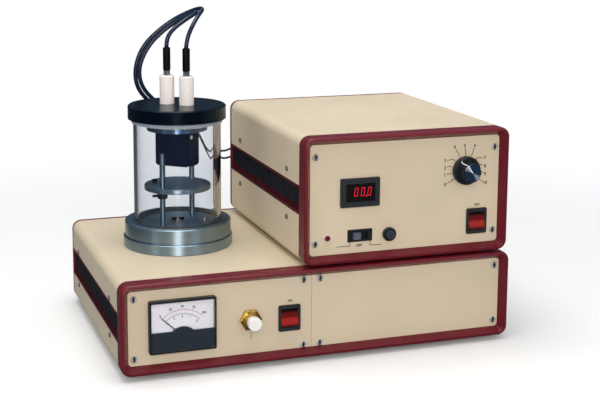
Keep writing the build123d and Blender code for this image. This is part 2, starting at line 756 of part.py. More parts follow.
# Analog meter: case with a barrel behind the panel, dial, needle and window
METER_FRONT = PANEL_FACE - METER_RISE
METER_FLOOR = METER_FRONT + METER_RISE - METER_DIAL
with BuildPart() as meter_case:
    with BuildSketch(facing_front(METER_FRONT, METER_X, METER_Z)):
        RectangleRounded(METER_WIDTH, METER_HEIGHT, METER_WALL)
    extrude(amount=-METER_RISE)
    chamfer(meter_case.faces().sort_by(Axis.Y)[0].edges(), METER_WALL / 3)
    with BuildSketch(facing_front(PANEL_FACE, METER_X, METER_Z)):
        Circle(METER_BARREL)
    extrude(amount=-METER_BARREL_DEPTH)
    with BuildSketch(facing_front(METER_FRONT, METER_X, METER_Z)):
        RectangleRounded(METER_WIDTH - 2 * METER_WALL, METER_HEIGHT - 2 * METER_WALL, METER_WALL / 2)
    extrude(amount=-(METER_RISE - METER_DIAL), mode=Mode.SUBTRACT)
    with BuildSketch(facing_front(METER_FLOOR, METER_X, METER_PIVOT_Z)):
        Circle(NEEDLE_PIN + SPINDLE_PLAY)
    extrude(amount=-METER_MOVEMENT, mode=Mode.SUBTRACT)
finish(meter_case.part, "meter_case")

with BuildPart() as meter_dial:
    with BuildSketch(facing_front(METER_FLOOR, METER_X, METER_Z)):
        inner = 2 * (METER_WALL + FIT_GAP)
        RectangleRounded(METER_WIDTH - inner, METER_HEIGHT - inner, METER_WALL / 2)
        with Locations((0, -METER_PIVOT_DROP)):
            Circle(NEEDLE_PIN + 1, mode=Mode.SUBTRACT)
    extrude(amount=METER_DIAL)
finish(meter_dial.part, "meter_dial")

NEEDLE_FACE = METER_FLOOR - METER_DIAL - NEEDLE_LIFT
with BuildPart() as meter_needle:
    with BuildSketch(facing_front(NEEDLE_FACE, METER_X, METER_PIVOT_Z)):
        with BuildLine(Plane.XY.rotated((0, 0, NEEDLE_REST))):
            Polyline(
                (-NEEDLE_ROOT, -NEEDLE_TAIL), (NEEDLE_ROOT, -NEEDLE_TAIL), (NEEDLE_TIP, NEEDLE_LENGTH),
                (-NEEDLE_TIP, NEEDLE_LENGTH), close=True,
            )
        make_face()
        Circle(NEEDLE_HUB)
    extrude(amount=NEEDLE_THICK)
    with BuildSketch(facing_front(NEEDLE_FACE, METER_X, METER_PIVOT_Z)):
        Circle(NEEDLE_PIN)
    extrude(amount=-(METER_MOVEMENT - METER_DIAL))
finish(meter_needle.part, "meter_needle")

with BuildPart() as meter_window:
    with BuildSketch(facing_front(METER_FRONT, METER_X, METER_Z)):
        inner = 2 * (METER_WALL + FIT_GAP)
        RectangleRounded(METER_WIDTH - inner, METER_HEIGHT - inner, METER_WALL / 2)
    extrude(amount=-WINDOW_THICK)
finish(meter_window.part, "meter_window")

# Gas leak valve: brass body through the panel, nut in front, knob on a spindle
with BuildPart() as leak_valve:
    with BuildSketch(facing_front(PANEL_FACE, LEAK_X, LEAK_Z)):
        RegularPolygon(LEAK_NUT, 6, major_radius=True)
    extrude(amount=LEAK_NUT_THICK)
    chamfer(leak_valve.faces().sort_by(Axis.Y)[0].edges(), LEAK_NUT_BEVEL)
    with BuildSketch(facing_front(PANEL_FACE - LEAK_NUT_THICK, LEAK_X, LEAK_Z)):
        Circle(LEAK_COLLAR)
    extrude(amount=LEAK_COLLAR_LENGTH)
    with BuildSketch(facing_front(PANEL_FACE, LEAK_X, LEAK_Z)):
        Circle(LEAK_BODY)
    extrude(amount=-LEAK_BODY_LENGTH)
    with BuildSketch(facing_front(PANEL_FACE - LEAK_NUT_THICK - LEAK_COLLAR_LENGTH, LEAK_X, LEAK_Z)):
        Circle(LEAK_SPINDLE + SPINDLE_PLAY)
    extrude(amount=-(LEAK_NUT_THICK + LEAK_COLLAR_LENGTH + LEAK_BODY), mode=Mode.SUBTRACT)
finish(leak_valve.part, "leak_valve")

LEAK_FACE = PANEL_FACE - LEAK_NUT_THICK - LEAK_COLLAR_LENGTH - FIT_GAP
with BuildPart() as leak_knob:
    with BuildSketch(facing_front(FRONT - KNOB_REACH, LEAK_X, LEAK_Z)):
        Circle(LEAK_KNOB)
    extrude(amount=-(LEAK_FACE - FRONT + KNOB_REACH - LEAK_NECK_LENGTH))
    chamfer(leak_knob.edges(), LEAK_BEVEL)
    with BuildSketch(facing_front(LEAK_FACE, LEAK_X, LEAK_Z)):
        Circle(LEAK_NECK)
    extrude(amount=LEAK_NECK_LENGTH)
    with BuildSketch(facing_front(FRONT - KNOB_REACH, LEAK_X, LEAK_Z)):
        with PolarLocations(LEAK_KNOB, KNURL_COUNT):
            Circle(KNURL_CUT)
    extrude(amount=-KNURL_LENGTH, mode=Mode.SUBTRACT)
    with BuildSketch(facing_front(LEAK_FACE, LEAK_X, LEAK_Z)):
        Circle(LEAK_SPINDLE)
    extrude(amount=-(LEAK_NUT_THICK + LEAK_COLLAR_LENGTH))
finish(leak_knob.part, "leak_knob")

# Rocker switches: a frame with a body behind the panel, and the rocker between its walls
ROCKER_AXIS_Y = PANEL_FACE + ROCKER_AXLE_BACK
with BuildPart() as rocker_frames:
    for x, z in ROCKERS.values():
        with BuildSketch(facing_front(PANEL_FACE, x, z)):
            RectangleRounded(ROCKER_WIDTH, ROCKER_HEIGHT, ROCKER_CORNER)
        extrude(amount=ROCKER_FRAME)
        with BuildSketch(facing_front(PANEL_FACE, x, z)):
            trim = 2 * FIT_GAP
            Rectangle(ROCKER_WIDTH - ROCKER_SIDE_WALL - trim, ROCKER_HEIGHT - ROCKER_WALL - trim)
        extrude(amount=-ROCKER_BODY_DEPTH)
        with BuildSketch(facing_front(PANEL_FACE - ROCKER_FRAME, x, z)):
            Rectangle(ROCKER_WIDTH - 2 * ROCKER_SIDE_WALL, ROCKER_HEIGHT - 2 * ROCKER_WALL)
        extrude(amount=-(ROCKER_FRAME + ROCKER_WELL), mode=Mode.SUBTRACT)
        with BuildSketch(facing_front(PANEL_FACE + ROCKER_BODY_DEPTH, x, z)):
            with GridLocations(ROCKER_HEIGHT / 3, ROCKER_HEIGHT / 3, 2, 2):
                Rectangle(ROCKER_TAG_THICK, ROCKER_TAG_WIDTH)
        extrude(amount=-ROCKER_TAG)
finish(rocker_frames.part, "rocker_frames")

for name, (x, z) in ROCKERS.items():
    with BuildPart() as rocker:
        half = ROCKER_HEIGHT / 2 - ROCKER_WALL - ROCKER_PLAY
        with BuildSketch(across(x)):
            with BuildLine():
                Polyline(
                    (ROCKER_AXIS_Y, z + half * ROCKER_HEEL), (ROCKER_AXIS_Y - ROCKER_PRESSED, z + half),
                    (ROCKER_AXIS_Y - ROCKER_CREST, z), (ROCKER_AXIS_Y - ROCKER_RAISED, z - half),
                    (ROCKER_AXIS_Y, z - half * ROCKER_HEEL), close=True,
                )
            make_face()
            with Locations((ROCKER_AXIS_Y, z)):
                Circle(ROCKER_AXLE)
        extrude(amount=ROCKER_WIDTH / 2 - ROCKER_SIDE_WALL - FIT_GAP, both=True)
    finish(rocker.part, f"{name}_rocker")

# Digital display
with BuildPart() as display_case:
    with BuildSketch(facing_front(PANEL_FACE, DISPLAY_X, DISPLAY_Z)):
        RectangleRounded(DISPLAY_WIDTH, DISPLAY_HEIGHT, DISPLAY_CORNER)
    extrude(amount=DISPLAY_RISE)
    chamfer(display_case.faces().sort_by(Axis.Y)[0].edges(), DISPLAY_RISE / 4)
    with BuildSketch(facing_front(PANEL_FACE, DISPLAY_X, DISPLAY_Z)):
        trim = DISPLAY_FLANGE + 2 * FIT_GAP
        Rectangle(DISPLAY_WIDTH - trim, DISPLAY_HEIGHT - trim)
    extrude(amount=-DISPLAY_BODY_DEPTH)
    with BuildSketch(facing_front(PANEL_FACE - DISPLAY_RISE, DISPLAY_X, DISPLAY_Z)):
        Rectangle(DISPLAY_WIDTH - 2 * DISPLAY_BORDER, DISPLAY_HEIGHT - 2 * DISPLAY_BORDER)
    extrude(amount=-(DISPLAY_RISE + WINDOW_THICK), mode=Mode.SUBTRACT)
finish(display_case.part, "display_case")

with BuildPart() as display_window:
    with BuildSketch(facing_front(PANEL_FACE + WINDOW_THICK, DISPLAY_X, DISPLAY_Z)):
        inner = 2 * (DISPLAY_BORDER + FIT_GAP)
        Rectangle(DISPLAY_WIDTH - inner, DISPLAY_HEIGHT - inner)
    extrude(amount=WINDOW_THICK + DISPLAY_RISE / 2)
finish(display_window.part, "display_window")

# Three position slide switch
with BuildPart() as mode_switch:
    with BuildSketch(facing_front(PANEL_FACE, MODE_X, MODE_Z)):
        RectangleRounded(MODE_WIDTH, MODE_HEIGHT, MODE_RISE / 2)
    extrude(amount=MODE_RISE)
    with BuildSketch(facing_front(PANEL_FACE, MODE_X, MODE_Z)):
        trim = MODE_FLANGE + 2 * FIT_GAP
        Rectangle(MODE_WIDTH - trim, MODE_HEIGHT - trim)
    extrude(amount=-MODE_BODY_DEPTH)
    with BuildSketch(facing_front(PANEL_FACE - MODE_RISE, MODE_X, MODE_Z)):
        Rectangle(2 * MODE_SLOT_HALF, MODE_SLOT_HEIGHT)
    extrude(amount=-(MODE_RISE + MODE_WELL), mode=Mode.SUBTRACT)
finish(mode_switch.part, "mode_switch")

with BuildPart() as mode_slider:
    with BuildSketch(facing_front(PANEL_FACE + MODE_WELL - FIT_GAP, MODE_X - MODE_TRAVEL, MODE_Z)):
        Rectangle(MODE_TAB, MODE_SLOT_HEIGHT - 2 * FIT_GAP)
    extrude(amount=MODE_WELL + MODE_RISE + MODE_TAB_REACH)
    with BuildSketch(facing_front(PANEL_FACE - MODE_RISE - MODE_TAB_REACH, MODE_X - MODE_TRAVEL, MODE_Z)):
        with GridLocations(MODE_TAB / 4, 1, 3, 1):
            Rectangle(MODE_RIB, MODE_SLOT_HEIGHT)
    extrude(amount=-MODE_RIB, mode=Mode.SUBTRACT)
finish(mode_slider.part, "mode_slider")

# Push-button: threaded bush with a square body behind, and its cap
with BuildPart() as button_switch:
    with BuildSketch(facing_front(PANEL_FACE, BUTTON_X, BUTTON_Z)):
        Circle(BUTTON_BUSH)
    extrude(amount=BUTTON_RISE)
    chamfer(button_switch.faces().sort_by(Axis.Y)[0].edges(), BUTTON_BEVEL)
    with BuildSketch(facing_front(PANEL_FACE, BUTTON_X, BUTTON_Z)):
        Circle(BUTTON_THREAD)
    extrude(amount=-BUTTON_BODY_START)
    with BuildSketch(facing_front(PANEL_FACE + BUTTON_BODY_START, BUTTON_X, BUTTON_Z)):
        Rectangle(2 * BUTTON_THREAD, 2 * BUTTON_THREAD)
    extrude(amount=-BUTTON_BODY_START)
    with BuildSketch(facing_front(PANEL_FACE - BUTTON_RISE, BUTTON_X, BUTTON_Z)):
        Circle(BUTTON_CAP + SPINDLE_PLAY)
    extrude(amount=-(BUTTON_RISE + BUTTON_TRAVEL + BUTTON_GUIDE), mode=Mode.SUBTRACT)
finish(button_switch.part, "button_switch")

with BuildPart() as pulse_button:
    with BuildSketch(facing_front(PANEL_FACE + BUTTON_GUIDE - FIT_GAP, BUTTON_X, BUTTON_Z)):
        Circle(BUTTON_CAP)
    extrude(amount=BUTTON_GUIDE + BUTTON_RISE + BUTTON_TRAVEL)
    chamfer(pulse_button.faces().sort_by(Axis.Y)[0].edges(), BUTTON_BEVEL / 2)
finish(pulse_button.part, "pulse_button")

# Indicator lamp
with BuildPart() as lamp_bezel:
    with BuildSketch(facing_front(PANEL_FACE, LAMP_X, LAMP_Z)):
        Circle(LAMP_BEZEL)
        Circle(LAMP_LENS + FIT_GAP, mode=Mode.SUBTRACT)
    extrude(amount=LAMP_RISE)
    chamfer(lamp_bezel.faces().sort_by(Axis.Y)[0].outer_wire().edges(), LAMP_RISE / 3)
finish(lamp_bezel.part, "lamp_bezel")

with BuildPart() as lamp_lens:
    with BuildSketch(facing_front(PANEL_FACE + LAMP_BACK, LAMP_X, LAMP_Z)):
        Circle(LAMP_LENS)
    extrude(amount=LAMP_BACK + LAMP_RISE + LAMP_LENS / 2)
    fillet(lamp_lens.faces().sort_by(Axis.Y)[0].edges(), LAMP_LENS / 2)
finish(lamp_lens.part, "lamp_lens")

# Voltage knob on the shaft of its regulator
KNOB_BACK = PANEL_FACE - KNOB_CLEAR
with BuildPart() as voltage_knob:
    with BuildSketch(facing_front(KNOB_BACK, KNOB_X, KNOB_Z)):
        Circle(KNOB_SKIRT)
    extrude(amount=KNOB_SKIRT_HEIGHT)
    chamfer(voltage_knob.faces().sort_by(Axis.Y)[0].edges(), KNOB_SKIRT_HEIGHT / 4)
    with BuildSketch(facing_front(KNOB_BACK, KNOB_X, KNOB_Z)):
        Circle(KNOB_BARREL)
        with PolarLocations(KNOB_BARREL + KNOB_FLUTE / 2, KNOB_FLUTES):
            Circle(KNOB_FLUTE, mode=Mode.SUBTRACT)
    extrude(amount=KNOB_LENGTH - KNOB_CAP_THICK)
    with BuildSketch(facing_front(KNOB_BACK, KNOB_X, KNOB_Z)):
        Circle(KNOB_SHAFT)
    extrude(amount=-KNOB_SHAFT_LENGTH)
finish(voltage_knob.part, "voltage_knob")

with BuildPart() as voltage_knob_cap:
    with BuildSketch(facing_front(KNOB_BACK - KNOB_LENGTH + KNOB_CAP_THICK, KNOB_X, KNOB_Z)):
        Circle(KNOB_CAP)
    extrude(amount=KNOB_CAP_THICK)
    chamfer(voltage_knob_cap.faces().sort_by(Axis.Y)[0].edges(), KNOB_CAP_THICK / 3)
finish(voltage_knob_cap.part, "voltage_knob_cap")

with BuildPart() as voltage_control:
    with BuildSketch(facing_front(PANEL_BACK, KNOB_X, KNOB_Z)):
        Circle(VARIAC_HUB)
    extrude(amount=-VARIAC_LENGTH)
    with BuildSketch(facing_front(PANEL_BACK + VARIAC_HUB / 2, KNOB_X, KNOB_Z)):
        Circle(VARIAC_RADIUS)
    extrude(amount=-(VARIAC_LENGTH - VARIAC_HUB))
    chamfer(voltage_control.edges().filter_by(GeomType.CIRCLE).group_by(SortBy.RADIUS)[-1], VARIAC_BEVEL)
    with BuildSketch(facing_front(PANEL_BACK, KNOB_X, KNOB_Z)):
        Circle(KNOB_SHAFT + SPINDLE_PLAY)
    extrude(amount=-VARIAC_LENGTH, mode=Mode.SUBTRACT)
finish(voltage_control.part, "voltage_control")

# Mains inlets with their fuse drawers, in both rear panels
with BuildPart() as mains_inlets:
    for case in CASES:
        face = case.back - REAR_RECESS
        with BuildSketch(facing_back(face, case.x + INLET_X, case.mid)):
            RectangleRounded(INLET_WIDTH, INLET_HEIGHT, INLET_CORNER)
        extrude(amount=INLET_RISE)
        with BuildSketch(facing_back(face, case.x + INLET_X, case.mid)):
            trim = INLET_FLANGE + 2 * FIT_GAP
            Rectangle(INLET_WIDTH - trim, INLET_HEIGHT - trim)
        extrude(amount=-INLET_BODY_DEPTH)
        with BuildSketch(facing_back(face + INLET_RISE, case.x + INLET_X, case.mid)):
            with Locations((0, -INLET_HEIGHT / 8)):
                RectangleRounded(INLET_SOCKET_WIDTH, INLET_SOCKET_HEIGHT, INLET_CORNER)
        extrude(amount=-INLET_SOCKET_DEPTH, mode=Mode.SUBTRACT)
        with BuildSketch(facing_back(face + INLET_RISE - INLET_SOCKET_DEPTH, case.x + INLET_X, case.mid)):
            with Locations((0, -INLET_HEIGHT / 8)):
                drop = INLET_PIN_HEIGHT / 2
                with Locations((0, drop), (-INLET_PIN_SPREAD, -drop), (INLET_PIN_SPREAD, -drop)):
                    Rectangle(INLET_PIN_WIDTH, INLET_PIN_HEIGHT)
        extrude(amount=INLET_SOCKET_DEPTH - INLET_PIN_SHORT)
finish(mains_inlets.part, "mains_inlets")

ON_FLOOR = (Align.CENTER, Align.CENTER, Align.MIN)


def floor_of(case, x, y, rise=0.0):
    """A place above a case's floor, from the middle of the case."""
    return Locations((case.x + x, FRONT + case.depth / 2 + y, case.base + SHEET + rise))


# Transformers on the floor of each case
with BuildPart() as transformers:
    for case, (x, y, size) in ((LOWER, LOWER_COIL), (UPPER, UPPER_COIL)):
        with floor_of(case, x, y):
            Box(size * CORE_WIDTH, size * CORE_THICK, size, align=ON_FLOOR)
        with floor_of(case, x, y, size * (1 - WINDING_HEIGHT) / 2):
            Box(size * WINDING_WIDTH, size, size * WINDING_HEIGHT, align=ON_FLOOR)
finish(transformers.part, "transformers")

# Circuit boards on pillars
with BuildPart() as circuit_boards:
    for case, (x, y, width, deep) in ((LOWER, LOWER_BOARD), (UPPER, UPPER_BOARD)):
        with floor_of(case, x, y):
            inset = 2 * PILLAR_INSET
            with GridLocations(width - inset, deep - inset, 2, 2):
                Cylinder(PILLAR_RADIUS, BOARD_RISE, align=ON_FLOOR)
        with floor_of(case, x, y, BOARD_RISE):
            Box(width, deep, BOARD_THICK, align=ON_FLOOR)
        with floor_of(case, x, y, BOARD_RISE + BOARD_THICK):
            with GridLocations(width / 4, deep / 3, 3, 2):
                Box(*CHIP_SIZE, align=ON_FLOOR)
            with Locations((width / 3, deep / 4), (width / 3, -deep / 4)):
                Cylinder(CAPACITOR_RADIUS, CAPACITOR_HEIGHT, align=ON_FLOOR)
finish(circuit_boards.part, "circuit_boards")

# Vacuum manifold below the base plate, its gauge, the gas tube and the hose port
THROAT_RADIUS = PORT_RADIUS + PORT_WALL
THROAT_END = DECK - THROAT_DROP
with BuildPart() as vacuum_manifold:
    with BuildSketch(Plane.XY.offset(THROAT_END)):
        with Locations((CHAMBER_X, CHAMBER_Y)):
            Circle(MANIFOLD_FLANGE)
    extrude(amount=-MANIFOLD_FLANGE_THICK)
    with BuildSketch(Plane.XY.offset(THROAT_END)):
        with Locations((CHAMBER_X, CHAMBER_Y)):
            Circle(THROAT_RADIUS)
    extrude(amount=-(THROAT_END - HOSE_Z + THROAT_RADIUS))
    with BuildSketch(facing_back(CHAMBER_Y, CHAMBER_X, HOSE_Z)):
        Circle(HOSE_PIPE)
    extrude(amount=LOWER.back - REAR_RECESS - PANEL_THICK - CHAMBER_Y)
    with BuildSketch(facing_back(CHAMBER_Y + GAUGE_BACK, CHAMBER_X, HOSE_Z)):
        Circle(THROAT_RADIUS + GAUGE_COLLAR)
    extrude(amount=2 * THROAT_RADIUS, both=True)
finish(vacuum_manifold.part, "vacuum_manifold")

with BuildPart() as gauge_head:
    with BuildSketch(across(CHAMBER_X + THROAT_RADIUS + GAUGE_COLLAR)):
        with Locations((CHAMBER_Y + GAUGE_BACK, HOSE_Z)):
            Circle(GAUGE_RADIUS)
    extrude(amount=GAUGE_LENGTH)
    chamfer(gauge_head.faces().sort_by(Axis.X)[-1].edges(), GAUGE_COLLAR)
finish(gauge_head.part, "gauge_head")

VALVE_END = PANEL_FACE + LEAK_BODY_LENGTH
TUBE_END = CHAMBER_X + HOSE_PIPE + FIT_GAP
with BuildPart() as gas_tube:
    with BuildLine():
        FilletPolyline(
            (LEAK_X, VALVE_END, LEAK_Z), (LEAK_X, CHAMBER_Y, LEAK_Z), (TUBE_END, CHAMBER_Y, LEAK_Z),
            radius=GAS_BEND,
        )
    with BuildSketch(facing_back(VALVE_END, LEAK_X, LEAK_Z)):
        Circle(GAS_TUBE)
    sweep()
finish(gas_tube.part, "gas_tube")

with BuildPart() as hose_port:
    with BuildSketch(facing_back(LOWER.back - REAR_RECESS, CHAMBER_X, HOSE_Z)):
        Circle(HOSE_PIPE + HOSE_SHOULDER)
    extrude(amount=HOSE_SHOULDER)
    with BuildSketch(facing_back(LOWER.back - REAR_RECESS - PANEL_THICK, CHAMBER_X, HOSE_Z)):
        Circle(HOSE_PIPE)
    extrude(amount=REAR_REACH + REAR_RECESS + PANEL_THICK)
    with BuildSketch(facing_back(LOWER.back + REAR_REACH - HOSE_RIM, CHAMBER_X, HOSE_Z)):
        Circle(HOSE_PIPE + HOSE_RIM)
    extrude(amount=HOSE_RIM)
    with BuildSketch(facing_back(LOWER.back - REAR_RECESS - PANEL_THICK, CHAMBER_X, HOSE_Z)):
        Circle(HOSE_BORE)
    extrude(amount=REAR_REACH + REAR_RECESS + PANEL_THICK, mode=Mode.SUBTRACT)
finish(hose_port.part, "hose_port")

# Chamber base
with BuildPart() as base_ring:
    with BuildSketch(Plane.XY.offset(DECK)):
        with Locations((CHAMBER_X, CHAMBER_Y)):
            Circle(RING_RADIUS)
            Circle(THROAT_RADIUS + THROAT_PLAY, mode=Mode.SUBTRACT)
    extrude(amount=RING_HEIGHT)
    chamfer(base_ring.edges().filter_by(GeomType.CIRCLE).group_by(SortBy.RADIUS)[-1], RING_BEVEL)
finish(base_ring.part, "base_ring")

with BuildPart() as base_collar:
    with BuildSketch(Plane.XY.offset(DECK + RING_HEIGHT)):
        with Locations((CHAMBER_X, CHAMBER_Y)):
            Circle(COLLAR_RADIUS - GROOVE)
    extrude(amount=GROOVE)
    with BuildSketch(Plane.XY.offset(DECK + RING_HEIGHT + GROOVE)):
        with Locations((CHAMBER_X, CHAMBER_Y)):
            Circle(COLLAR_RADIUS)
    extrude(amount=COLLAR_HEIGHT - GROOVE)
    chamfer(base_collar.faces().sort_by(Axis.Z)[-1].edges(), RING_BEVEL)
    with BuildSketch(Plane.XY.offset(COLLAR_TOP)):
        with Locations((CHAMBER_X, CHAMBER_Y)):
            Circle(SEAT_RADIUS)
    extrude(amount=-SEAT_DEPTH, mode=Mode.SUBTRACT)
    with BuildSketch(Plane.XY.offset(THROAT_END)):
        with Locations((CHAMBER_X, CHAMBER_Y)):
            Circle(THROAT_RADIUS)
    extrude(amount=DECK + RING_HEIGHT - THROAT_END)
    with BuildSketch(Plane.XY.offset(THROAT_END)):
        with Locations((CHAMBER_X, CHAMBER_Y)):
            Circle(PORT_RADIUS)
    extrude(amount=COLLAR_TOP - THROAT_END, mode=Mode.SUBTRACT)
    with BuildSketch(Plane.XY.offset(CHAMBER_FLOOR)):
        with Locations(*POSTS):
            Circle(POST_RADIUS + THREAD_PLAY)
        with Locations((CHAMBER_X + INLET_OFFSET[0], CHAMBER_Y + INLET_OFFSET[1])):
            Circle(INLET_RADIUS + THREAD_PLAY)
    extrude(amount=-POST_SEAT, mode=Mode.SUBTRACT)
finish(base_collar.part, "base_collar")

with BuildPart() as chamber_ports:
    with BuildSketch(Plane.XY.offset(CHAMBER_FLOOR)):
        with Locations((CHAMBER_X, CHAMBER_Y)):
            Circle(PORT_RADIUS + PORT_COVER_LAP)
            with Locations((-PORT_RADIUS / 2, 0), (PORT_RADIUS / 2, 0)):
                SlotOverall(PORT_RADIUS, PORT_RADIUS / 2, rotation=90, mode=Mode.SUBTRACT)
    extrude(amount=PORT_COVER)
    with BuildSketch(Plane.XY.offset(CHAMBER_FLOOR - POST_SEAT)):
        with Locations((CHAMBER_X + INLET_OFFSET[0], CHAMBER_Y + INLET_OFFSET[1])):
            Circle(INLET_RADIUS)
            Circle(INLET_RADIUS / 2, mode=Mode.SUBTRACT)
    extrude(amount=POST_SEAT + INLET_RADIUS)
finish(chamber_ports.part, "chamber_ports")

# Glass and its two L section seals
with BuildPart() as glass_cylinder:
    with BuildSketch(Plane.XY.offset(GLASS_FOOT)):
        with Locations((CHAMBER_X, CHAMBER_Y)):
            Circle(GLASS_RADIUS)
            Circle(GLASS_RADIUS - GLASS_WALL, mode=Mode.SUBTRACT)
    extrude(amount=GLASS_HEIGHT)
finish(glass_cylinder.part, "glass_cylinder")

SEAL_OUTER = GLASS_RADIUS + FIT_GAP + SEAL_WALL
SEAL_INNER = GLASS_RADIUS - GLASS_WALL - SEAL_LAP
with BuildPart() as glass_seals:
    for foot, way in ((CHAMBER_FLOOR, 1), (LID_BASE, -1)):
        with BuildSketch(Plane.XY.offset(foot)):
            with Locations((CHAMBER_X, CHAMBER_Y)):
                Circle(SEAL_OUTER)
                Circle(SEAL_INNER, mode=Mode.SUBTRACT)
        extrude(amount=way * SEAL_FLOOR)
        with BuildSketch(Plane.XY.offset(foot + way * SEAL_FLOOR)):
            with Locations((CHAMBER_X, CHAMBER_Y)):
                Circle(SEAL_OUTER)
                Circle(GLASS_RADIUS + FIT_GAP, mode=Mode.SUBTRACT)
        extrude(amount=way * SEAL_STAND)
finish(glass_seals.part, "glass_seals")

# Stage: two posts, the disc that slides on them, and its clamp
with BuildPart() as stage_posts:
    for (x, y), height in zip(POSTS, (FRONT_POST_HEIGHT, REAR_POST_HEIGHT)):
        with BuildSketch(Plane.XY.offset(CHAMBER_FLOOR - POST_SEAT)):
            with Locations((x, y)):
                Circle(POST_RADIUS)
        extrude(amount=height + POST_SEAT)
    chamfer(stage_posts.edges().filter_by(GeomType.CIRCLE).group_by(Axis.Z)[-1], POST_BEVEL)
finish(stage_posts.part, "stage_posts")

with BuildPart() as stage_disc:
    with BuildSketch(Plane.XY.offset(STAGE_TOP)):
        with Locations((CHAMBER_X, CHAMBER_Y)):
            Circle(STAGE_RADIUS)
        with Locations(*POSTS):
            Circle(POST_RADIUS + POST_BORE_PLAY, mode=Mode.SUBTRACT)
    extrude(amount=-STAGE_THICK)
    chamfer(stage_disc.edges().filter_by(GeomType.CIRCLE).group_by(SortBy.RADIUS)[-1], STAGE_BEVEL)
finish(stage_disc.part, "stage_disc")

with BuildPart() as stage_clamp:
    with BuildSketch(Plane.XY.offset(STAGE_TOP - STAGE_THICK)):
        with Locations(POSTS[0]):
            Circle(CLAMP_RADIUS)
            Circle(POST_RADIUS + POST_BORE_PLAY, mode=Mode.SUBTRACT)
    extrude(amount=-CLAMP_HEIGHT)
    with BuildSketch(across(POSTS[0][0] - CLAMP_RADIUS + 1)):
        with Locations((POSTS[0][1], STAGE_TOP - STAGE_THICK - CLAMP_HEIGHT / 2)):
            Circle(CLAMP_SCREW)
    extrude(amount=-CLAMP_SCREW_LENGTH)
finish(stage_clamp.part, "stage_clamp")

# Lid and what it carries
with BuildPart() as lid:
    with BuildSketch(Plane.XY.offset(LID_BASE)):
        with Locations((CHAMBER_X, CHAMBER_Y)):
            Circle(LID_RADIUS)
    extrude(amount=LID_HEIGHT)
    chamfer(lid.faces().sort_by(Axis.Z)[-1].edges(), LID_BEVEL)
    with BuildSketch(HEAD.offset(LID_BASE)):
        with Locations(*ELECTRODES):
            Circle(SLEEVE_RADIUS + FIT_GAP)
    extrude(amount=LID_HEIGHT, mode=Mode.SUBTRACT)
finish(lid.part, "lid")

with BuildPart() as insulating_disc:
    with BuildSketch(HEAD.offset(SPIGOT_BASE)):
        Circle(SPIGOT_RADIUS)
        with Locations(*ELECTRODES):
            Circle(SLEEVE_RADIUS + FIT_GAP, mode=Mode.SUBTRACT)
    extrude(amount=SPIGOT_HEIGHT)
finish(insulating_disc.part, "insulating_disc")

with BuildPart() as insulators:
    with BuildSketch(HEAD.offset(LID_TOP)):
        with Locations(*ELECTRODES):
            Circle(INSULATOR_RADIUS)
    extrude(amount=INSULATOR_HEIGHT)
    chamfer(insulators.faces().group_by(Axis.Z)[-1].edges(), INSULATOR_BEVEL)
    with BuildSketch(HEAD.offset(SPIGOT_BASE)):
        with Locations(*ELECTRODES):
            Circle(SLEEVE_RADIUS)
    extrude(amount=LID_TOP - SPIGOT_BASE)
    with BuildSketch(HEAD.offset(SPIGOT_BASE)):
        with Locations(*ELECTRODES):
            Circle(ELECTRODE_RADIUS + THREAD_PLAY)
    extrude(amount=LID_TOP + INSULATOR_HEIGHT - SPIGOT_BASE, mode=Mode.SUBTRACT)
finish(insulators.part, "insulators")

with BuildPart() as electrodes:
    with BuildSketch(HEAD.offset(SPIGOT_BASE - ELECTRODE_DROP)):
        with Locations(*ELECTRODES):
            Circle(ELECTRODE_RADIUS)
    extrude(amount=LID_TOP + INSULATOR_HEIGHT - SPIGOT_BASE + ELECTRODE_DROP)
    with BuildSketch(HEAD.offset(LID_TOP + INSULATOR_HEIGHT)):
        with Locations(*ELECTRODES):
            RegularPolygon(STUD_RADIUS, 6, major_radius=True)
    extrude(amount=STUD_HEIGHT)
    with BuildSketch(HEAD.offset(ROD_HEIGHT - ROD_CLAMP)):
        with Locations(*ELECTRODES):
            Circle(ELECTRODE_RADIUS + ROD_RADIUS)
    extrude(amount=2 * ROD_CLAMP)
    with Locations(HEAD.offset(ROD_HEIGHT)):
        Cylinder(
            ROD_RADIUS + THREAD_PLAY, 2 * ELECTRODE_SPACING, rotation=(0, 90, 0), mode=Mode.SUBTRACT,
        )
finish(electrodes.part, "electrodes")

with BuildPart() as carbon_rods:
    half = ELECTRODE_SPACING / 2 + ELECTRODE_RADIUS + 2 * ROD_RADIUS
    along = {"rotation": (0, 90, 0), "align": ON_FLOOR}
    with Locations(HEAD.offset(ROD_HEIGHT)):
        with Locations((-half, 0, 0)):
            Cylinder(ROD_RADIUS, half - ROD_TIP, **along)
        with Locations((-ROD_TIP, 0, 0)):
            Cone(ROD_RADIUS, ROD_RADIUS / 4, ROD_TIP, **along)
        with Locations((FIT_GAP, 0, 0)):
            Cylinder(ROD_RADIUS, half - FIT_GAP, **along)
finish(carbon_rods.part, "carbon_rods")

